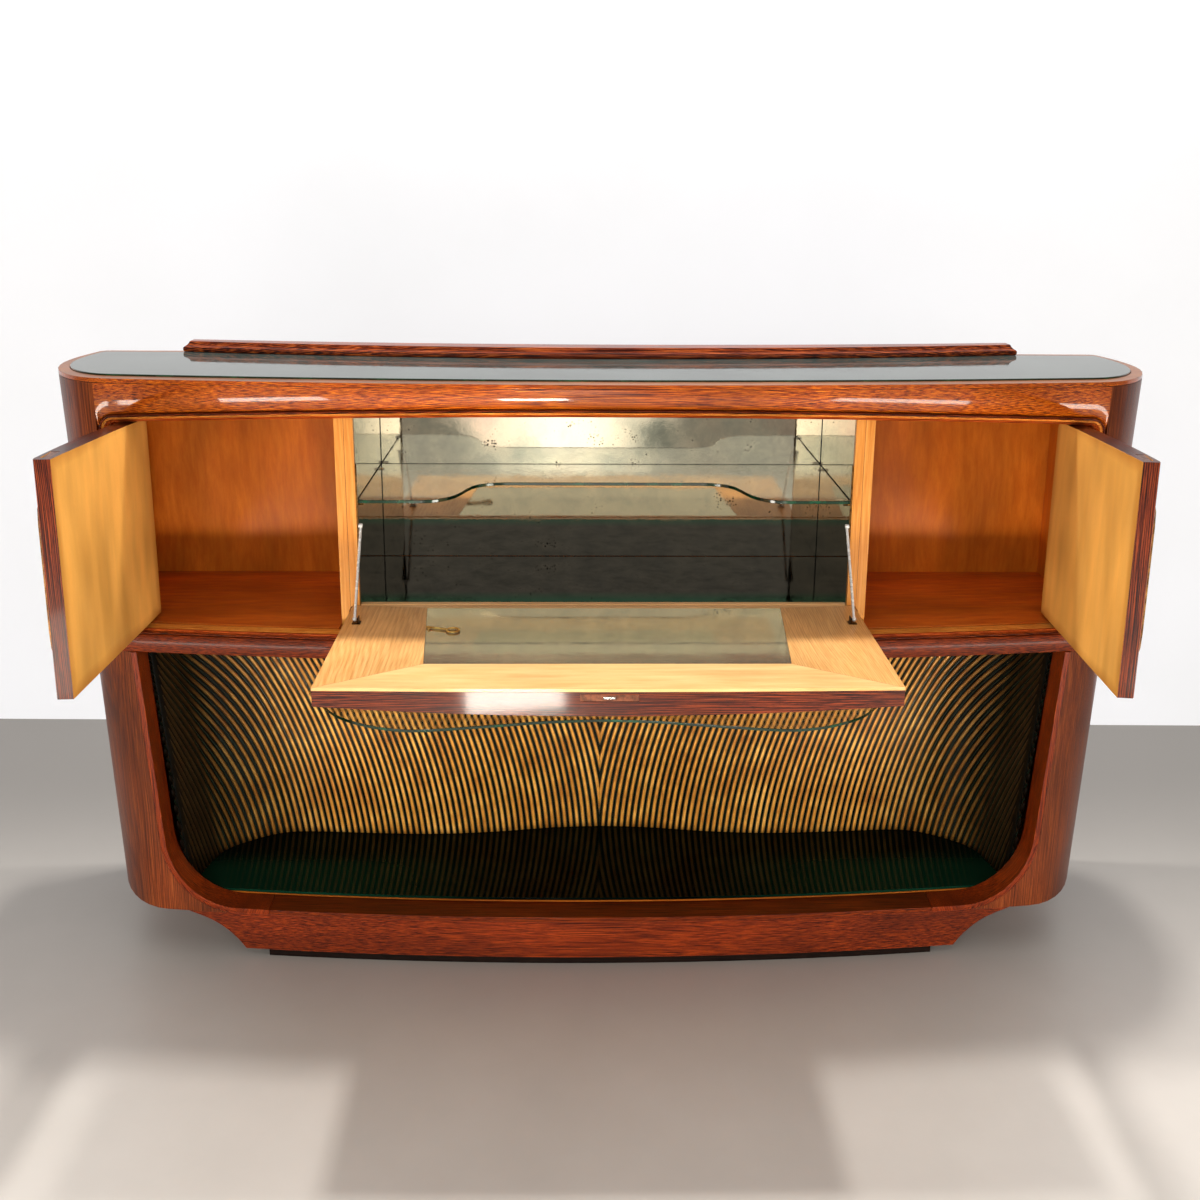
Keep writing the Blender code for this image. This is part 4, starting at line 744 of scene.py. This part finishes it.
def ribTree():
    tree = bpy.data.node_groups.new("leaningRibs", "GeometryNodeTree")
    face = tree.interface
    face.new_socket("Geometry", in_out="INPUT", socket_type="NodeSocketGeometry")
    for label in (*ribs, "Phase", "Radius"):
        kind = "NodeSocketInt" if label == "Points" else "NodeSocketFloat"
        face.new_socket(label, in_out="INPUT", socket_type=kind)
    face.new_socket("Material", in_out="INPUT", socket_type="NodeSocketMaterial")
    face.new_socket("Geometry", in_out="OUTPUT", socket_type="NodeSocketGeometry")
    given = addNode(tree, "NodeGroupInput").outputs
    known = dict(given.items())

    # a sum is its name, its operation and its terms, each a number or the name of what is known
    def workOut(sums):
        for name, operation, *terms in sums:
            known[name] = addNode(tree, "Math", operation, {
                i: known.get(term, term) for i, term in enumerate(terms)})
    plan = addNode(tree, "GeometryNodeMeshToCurve", inputs={"Mesh": given["Geometry"]})
    known["length"] = addNode(tree, "GeometryNodeCurveLength", inputs={"Curve": plan})
    workOut([
        ("span", "SUBTRACT", "Top", "Foot"), ("slope", "MULTIPLY_ADD", "Curl", 0.5, "Lean"),
        ("leanAll", "MULTIPLY", "span", "slope"), ("covered", "ADD", "length", "leanAll"),
        ("planted", "ADD", "covered", "Overrun"), ("steps", "DIVIDE", "planted", "Pitch"),
        ("count", "CEIL", "steps"), ("leanBack", "MULTIPLY", "leanAll", -1.0),
        ("startX", "MULTIPLY_ADD", "Pitch", "Phase", "leanBack")])
    start = addNode(tree, "CombineXYZ", inputs={"X": known["startX"]})
    offset = addNode(tree, "CombineXYZ", inputs={"X": given["Pitch"]})
    line = addNode(tree, "GeometryNodeMeshLine", inputs={
        "Count": known["count"], "Start Location": start, "Offset": offset})
    low = addNode(tree, "CombineXYZ", inputs={"Z": given["Foot"]})
    high = addNode(tree, "CombineXYZ", inputs={"Z": given["Top"]})
    rib = addNode(tree, "GeometryNodeCurvePrimitiveLine", inputs={"Start": low, "End": high})
    ribPoints = addNode(tree, "GeometryNodeResampleCurve", inputs={"Curve": rib, "Count": given["Points"]})
    spread = addNode(tree, "GeometryNodeInstanceOnPoints", inputs={"Points": line, "Instance": ribPoints})
    real = addNode(tree, "GeometryNodeRealizeInstances", inputs={"Geometry": spread})
    where = addNode(tree, "GeometryNodeInputPosition")
    part = addNode(tree, "SeparateXYZ", inputs={"Vector": where}).outputs
    known.update(x=part["X"], z=part["Z"])
    workOut([
        ("above", "SUBTRACT", "z", "Foot"), ("rise", "DIVIDE", "above", "span"),
        ("riseSquared", "POWER", "rise", 2.0), ("halfCurl", "MULTIPLY", "Curl", 0.5),
        ("curled", "MULTIPLY", "riseSquared", "halfCurl"),
        ("slant", "MULTIPLY_ADD", "rise", "Lean", "curled"), ("shift", "MULTIPLY", "span", "slant"),
        ("leaning", "ADD", "x", "shift")])
    known["past"] = addNode(tree, "MapRange", smoothly, {
        "Value": known["leaning"], "From Min": given["Bend"], "From Max": given["Bend End"]})
    workOut([
        ("risen", "MULTIPLY", "rise", "span"), ("turned", "MULTIPLY", "past", "risen"),
        ("along", "MULTIPLY_ADD", "turned", "Turn Out", "leaning"), ("ahead", "MAXIMUM", "along", 0.0),
        ("inside", "MINIMUM", "ahead", "length"), ("over", "SUBTRACT", "along", "inside"),
        ("overBy", "ABSOLUTE", "over"), ("outside", "GREATER_THAN", "overBy", "Overrun"),
        ("reach", "DIVIDE", "along", "length"), ("sinkBack", "MULTIPLY", "Sink", -1.0),
        ("aboveSill", "SUBTRACT", "z", "Sill"), ("sillShare", "DIVIDE", "aboveSill", "Height"),
        ("widen", "MULTIPLY_ADD", "sillShare", "Flare", 1.0)])
    sample = addNode(tree, "GeometryNodeSampleCurve", {
        "mode": "LENGTH", "data_type": "FLOAT_VECTOR", "use_all_curves": True}, {
        "Curves": plan, "Length": known["inside"]}).outputs
    carried = addNode(tree, "VectorMath", "SCALE", {0: sample["Tangent"], "Scale": known["over"]})
    onLine = addNode(tree, "VectorMath", "ADD", {0: sample["Position"], 1: carried})
    outward = addNode(tree, "VectorMath", "CROSS_PRODUCT", {0: sample["Tangent"], 1: (0, 0, 1)})
    sunk = addNode(tree, "VectorMath", "SCALE", {0: outward, "Scale": known["sinkBack"]})
    seated = addNode(tree, "VectorMath", "ADD", {0: onLine, 1: sunk})
    axes = addNode(tree, "SeparateXYZ", inputs={"Vector": seated}).outputs
    known["seatedX"] = axes["X"]
    workOut([("widened", "MULTIPLY", "seatedX", "widen")])
    target = addNode(tree, "CombineXYZ", inputs={"X": known["widened"], "Y": axes["Y"], "Z": part["Z"]})
    kept = addNode(tree, "GeometryNodeDeleteGeometry", {"domain": "POINT"}, {
        "Geometry": real, "Selection": known["outside"]})
    faced = addNode(tree, "GeometryNodeStoreNamedAttribute", {
        "data_type": "FLOAT_VECTOR", "domain": "POINT"}, {
        "Geometry": kept, "Name": "outward", "Value": outward})
    reached = addNode(tree, "GeometryNodeStoreNamedAttribute", {"data_type": "FLOAT", "domain": "POINT"}, {
        "Geometry": faced, "Name": "reach", "Value": known["reach"]})
    laid = addNode(tree, "GeometryNodeSetPosition", inputs={"Geometry": reached, "Position": target})
    ring = addNode(tree, "GeometryNodeCurvePrimitiveCircle", inputs={
        "Resolution": 8, "Radius": given["Radius"]})
    tube = addNode(tree, "GeometryNodeCurveToMesh", inputs={
        "Curve": laid, "Profile Curve": ring, "Fill Caps": True})
    stored = addNode(tree, "GeometryNodeInputNamedAttribute", {"data_type": "FLOAT_VECTOR"}, {
        "Name": "outward"})
    normal = addNode(tree, "GeometryNodeInputNormal")
    towards = addNode(tree, "VectorMath", "DOT_PRODUCT", {0: stored, 1: normal})
    crested = addNode(tree, "GeometryNodeStoreNamedAttribute", {"data_type": "FLOAT", "domain": "POINT"}, {
        "Geometry": tube, "Name": "crest", "Value": towards})
    smooth = addNode(tree, "GeometryNodeSetShadeSmooth", inputs={"Geometry": crested})
    flat = addNode(tree, "GeometryNodeRealizeInstances", inputs={"Geometry": smooth})
    done = addNode(tree, "GeometryNodeSetMaterial", inputs={
        "Geometry": flat, "Material": given["Material"]})
    addNode(tree, "NodeGroupOutput", inputs={"Geometry": done})
    return tree


def setInputs(modifier, values):
    for socket in modifier.node_group.interface.items_tree:
        if socket.item_type == "SOCKET" and socket.in_out == "INPUT" and socket.name in values:
            modifier[socket.identifier] = values[socket.name]


ribNodes = ribTree()


def makeRibs(label, kind):
    plan = [(x, y + frontShift, 0) for x, y in curveThrough(panelPlan, planSteps)]
    mesh = bpy.data.meshes.new("ribPlan")
    mesh.from_pydata(plan, [(i, i + 1) for i in range(len(plan) - 1)], [])
    item = newObject("right" + label, mesh)
    modifier = item.modifiers.new("ribs", "NODES")
    modifier.node_group = ribNodes
    setInputs(modifier, {**ribs, **kind})
    evaluated(item)
    work = bmesh.new()
    work.from_mesh(item.data)
    cutAt(work, (ribEnd["seam"], 0, 0), (-1, 0, 0), clear_outer=True)
    cutAt(work, (0, frontShift + ribEnd["behindFront"], 0), (0, -1, 0), clear_outer=True)
    work.to_mesh(item.data)
    other = item.data.copy()
    other.name = "left" + label
    work.transform(Matrix.Scale(-1, 4, (1, 0, 0)))
    bmesh.ops.reverse_faces(work, faces=work.faces[:])
    work.to_mesh(other)
    work.free()
    attach(item, "right_fluted_panel")
    attach(newObject("left" + label, other), "left_fluted_panel")


# the ground of the grooves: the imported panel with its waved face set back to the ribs' middles
ground = {"aimY": -0.3, "least": 0.3, "leastSum": 0.1, "hookX": 0.77, "hookY": 0.134,
          "hookMove": (0.0033, -0.018), "sharpAbove": 40}


def makeGrooveGround(side, sign):
    panel = side + "_fluted_panel"
    mesh = frame["nodes"][panel].data.copy()
    work = bmesh.new()
    work.from_mesh(mesh)
    bmesh.ops.remove_doubles(work, verts=work.verts[:], dist=finish["weld"])
    work.normal_update()
    moves = {}
    for vertex in work.verts:
        total = Vector()
        for face in vertex.link_faces:
            centre = face.calc_center_median()
            inward = Vector((-centre.x, ground["aimY"] - centre.y, 0)).normalized()
            upright = abs(face.normal.z) < facing["partly"]
            if upright and face.normal.dot(inward) > ground["least"]:
                total += face.normal
        if total.length > ground["leastSum"]:
            moves[vertex] = total.normalized() * -ribs["Sink"]
    for vertex, move in moves.items():
        vertex.co += move
    # the outer end is drawn forward, in behind the liner's edge
    moveX, moveY = ground["hookMove"]
    for vertex in work.verts:
        if abs(vertex.co.x) > ground["hookX"] and vertex.co.y < frontShift + ground["hookY"]:
            vertex.co += Vector((moveX * sign, moveY, 0))
    for face in work.faces:
        face.smooth = True
        face.material_index = 0
    work.to_mesh(mesh)
    work.free()
    mesh.materials.clear()
    mesh.materials.append(grooveLacquerAndShade)
    mesh.set_sharp_from_angle(angle=math.radians(ground["sharpAbove"]))
    attach(newObject(side + "GrooveGround", mesh), panel)


for label, kind in ribKinds.items():
    makeRibs(label, kind)
for side, sign in doorSide.items():
    makeGrooveGround(side, sign)
print("ribs finished")


# poured floor and whitewashed wall; farShadeTone is painted shade: the floor darkens further back, under the
# part
def stageMaterial(name, low, high, scale, rough, glow=0.0, oneSided=False, farShadeTone=None):
    material, tree = newMaterial(name)
    place = addNode(tree, "TexCoord").outputs["Object"]
    cloud = addNode(tree, "TexNoise", inputs={
        "Vector": place, "Scale": scale, "Detail": 7.0, "Roughness": 0.6})
    tone = addNode(tree, "ValToRGB", inputs={"Fac": cloud}, stops=[(0.3, low), (0.7, high)])
    # painted shade: the floor turns darker further back, under and behind the part
    if farShadeTone:
        depth = addNode(tree, "SeparateXYZ", inputs={"Vector": place}).outputs["Y"]
        farShade = addNode(tree, "MapRange", smoothly, {"Value": depth, "From Min": -0.5, "From Max": 0.8})
        tone = addNode(tree, "Mix", inColour, {0: farShade, 6: tone, 7: colour(farShadeTone)})
    shader = addNode(tree, "BsdfPrincipled", inputs={
        "Base Color": tone, "Roughness": rough, "Emission Color": tone, "Emission Strength": glow})
    surface = shader
    if oneSided:
        clear = addNode(tree, "BsdfTransparent")
        back = addNode(tree, "NewGeometry").outputs["Backfacing"]
        surface = addNode(tree, "MixShader", inputs={0: back, 1: surface, 2: clear})
    return closeMaterial(material, surface)


def slab(name, corners, material):
    mesh = bpy.data.meshes.new(name)
    mesh.from_pydata(corners, [], [(0, 1, 2, 3)])
    mesh.materials.append(material)
    item = newObject(name, mesh)
    return item


# the wall is closer on the right, and see-through from behind
stage = {"half": 8, "depth": 6, "height": 6, "wallLeft": 1.22, "wallRight": 0.95}
# a bright, frayed strip near the floor for the polished wood and the mirrors, unseen by the camera
doorwaySize = {"half": 2.2, "y": -3.4, "foot": 0.001, "head": 0.36, "offCentre": 0.10, "fray": 0.9}


def makeStage():
    half, depth, height = stage["half"], stage["depth"], stage["height"]
    floorPaint = stageMaterial("pouredGreyFloor", "C6C0BA", "D6D0CA", 1.4, 0.42, farShadeTone="807C78")
    wallPaint = stageMaterial("whitewashedWall", "8A8A8B", "8E8E90", 0.8, 0.8, 2.6, True)
    slab("studioFloor", [(-half, -depth, 0), (half, -depth, 0), (half, depth, 0), (-half, depth, 0)],
         floorPaint)
    slab("studioWall", [(-half, stage["wallLeft"], 0), (half, stage["wallRight"], 0),
                        (half, stage["wallRight"], height), (-half, stage["wallLeft"], height)], wallPaint)


def doorwayGlow():
    material, tree = newMaterial("brightDoorway")
    place = addNode(tree, "TexCoord").outputs["Object"]
    spot = addNode(tree, "SeparateXYZ", inputs={"Vector": place}).outputs["X"]
    moved = addNode(tree, "Math", "ADD", {0: spot, 1: doorwaySize["offCentre"]})
    away = addNode(tree, "Math", "ABSOLUTE", {0: moved})
    cloud = addNode(tree, "TexNoise", inputs={
        "Vector": place, "Scale": 3.0, "Detail": 5.0, "Roughness": 0.6})
    frayed = addNode(tree, "Math", "MULTIPLY_ADD", {0: cloud, 1: doorwaySize["fray"], 2: away})
    bright = addNode(tree, "MapRange", smoothly, {
        "Value": frayed, "From Min": 1.15, "From Max": 0.45, "To Min": 0.42, "To Max": 3.4})
    tone = addNode(tree, "ValToRGB", inputs={"Fac": cloud},
                   stops=[(0.35, "E8D2C4"), (0.50, "F4ECDC"), (0.65, "DCE0D4")])
    glow = addNode(tree, "Emission", inputs={"Color": tone, "Strength": bright})
    return closeMaterial(material, glow)


def makeDoorway():
    half, y, foot, head = [doorwaySize[key] for key in ("half", "y", "foot", "head")]
    corners = [(-half, y, foot), (half, y, foot), (half, y, head), (-half, y, head)]
    slab("brightDoorway", corners, doorwayGlow()).visible_camera = False


# size in metres, power in watts; only a mirrored lamp shows in the polished wood and the glass
def areaLight(name, place, aim, size, power, tint, mirrored=False):
    data = bpy.data.lights.new(name, "AREA")
    data.shape = "RECTANGLE"
    data.size, data.size_y = size
    data.energy = power
    data.color = colour(tint)[:3]
    item = newObject(name, data)
    item.location = place
    item.rotation_euler = (Vector(aim) - Vector(place)).to_track_quat("-Z", "Y").to_euler()
    item.visible_glossy = mirrored
    item.visible_transmission = mirrored
    item.visible_camera = False


makeStage()
makeDoorway()
areaLight("ceilingPanel", (0, -0.9, 3.4), (0, -0.4, 0), (4.5, 2.6), 34, "FFFBF4")
areaLight("frontSoftbox", (-1.4, -4.2, 2.0), (0, 0, 0.5), (2.2, 1.6), 58, "FFFAF2")
areaLight("rightSoftbox", (2.0, -4.0, 1.6), (0, 0, 0.4), (2.2, 1.6), 30, "FFFDF8")
areaLight("roomWindow", (0, -5.4, 2.5), (0, 0, 0.9), (8.0, 1.8), 36, "F6F4E8", True)
areaLight("floorPool", (0, -2.4, 0.02), (0, -1.6, 1.0), (2.8, 0.24), 62, "FFF2DE")
areaLight("floorSpot", (-0.25, -1.93, 0.03), (0, -0.9, 1.0), (0.30, 0.26), 18, "FFF6E8", True)
areaLight("leftFloorGleam", (-1.60, -1.85, 0.02), (-1.2, -1.0, 1.0), (0.9, 0.50), 26, "FFF6E8", True)
areaLight("rightFloorGleam", (1.62, -1.85, 0.02), (1.1, -0.9, 1.0), (1.2, 0.50), 28, "FFF6E8", True)
areaLight("leftRearLamp", (-0.55, 0.5, 3.1), (-0.4, -0.2, 0), (0.16, 0.16), 46, "FFFCF6")
areaLight("rightRearLamp", (0.8, 0.5, 3.1), (0.5, -0.2, 0), (0.16, 0.16), 40, "FFFCF6")

# the air is white to the camera and dim to the part
air = {"tone": "F4F4F6", "onPart": 0.16, "seen": 1.0}


def makeWorld():
    world = bpy.data.worlds.new("paleRoom")
    bpy.context.scene.world = world
    world.use_nodes = True
    tree = world.node_tree
    tree.nodes.clear()
    seen = addNode(tree, "LightPath").outputs["Is Camera Ray"]
    strength = addNode(tree, "MapRange", inputs={
        "Value": seen, "To Min": air["onPart"], "To Max": air["seen"]})
    sky = addNode(tree, "Background", inputs={"Color": colour(air["tone"]), "Strength": strength})
    addNode(tree, "OutputWorld", inputs={"Surface": sky})


# the camera stands where the photograph was taken: place in metres, turns in radians, lens in millimetres
view = {"place": (-0.0538, -2.18785, 1.4723), "yaw": 0.0202, "pitch": 0.2447, "roll": 0.0071,
        "lens": 38.533, "sensor": 36, "shiftY": -0.0908, "near": 0.05}


def makeCamera():
    yaw, pitch, roll = view["yaw"], view["pitch"], view["roll"]
    forward = Vector((math.sin(yaw) * math.cos(pitch), math.cos(yaw) * math.cos(pitch), -math.sin(pitch)))
    right = Vector((math.cos(yaw), -math.sin(yaw), 0))
    up = right.cross(forward)
    tiltedRight = right * math.cos(roll) + up * math.sin(roll)
    tiltedUp = up * math.cos(roll) - right * math.sin(roll)
    data = bpy.data.cameras.new("studioCamera")
    data.sensor_width = view["sensor"]
    data.lens = view["lens"]
    data.shift_y = view["shiftY"]
    data.clip_start = view["near"]
    camera = newObject("studioCamera", data)
    turn = Matrix((tiltedRight, tiltedUp, -forward)).transposed()
    camera.matrix_world = Matrix.Translation(view["place"]) @ turn.to_4x4()
    bpy.context.scene.camera = camera


makeWorld()
makeCamera()
bpy.context.scene.view_settings.view_transform = "Standard"
print("stage, lamps and camera set")
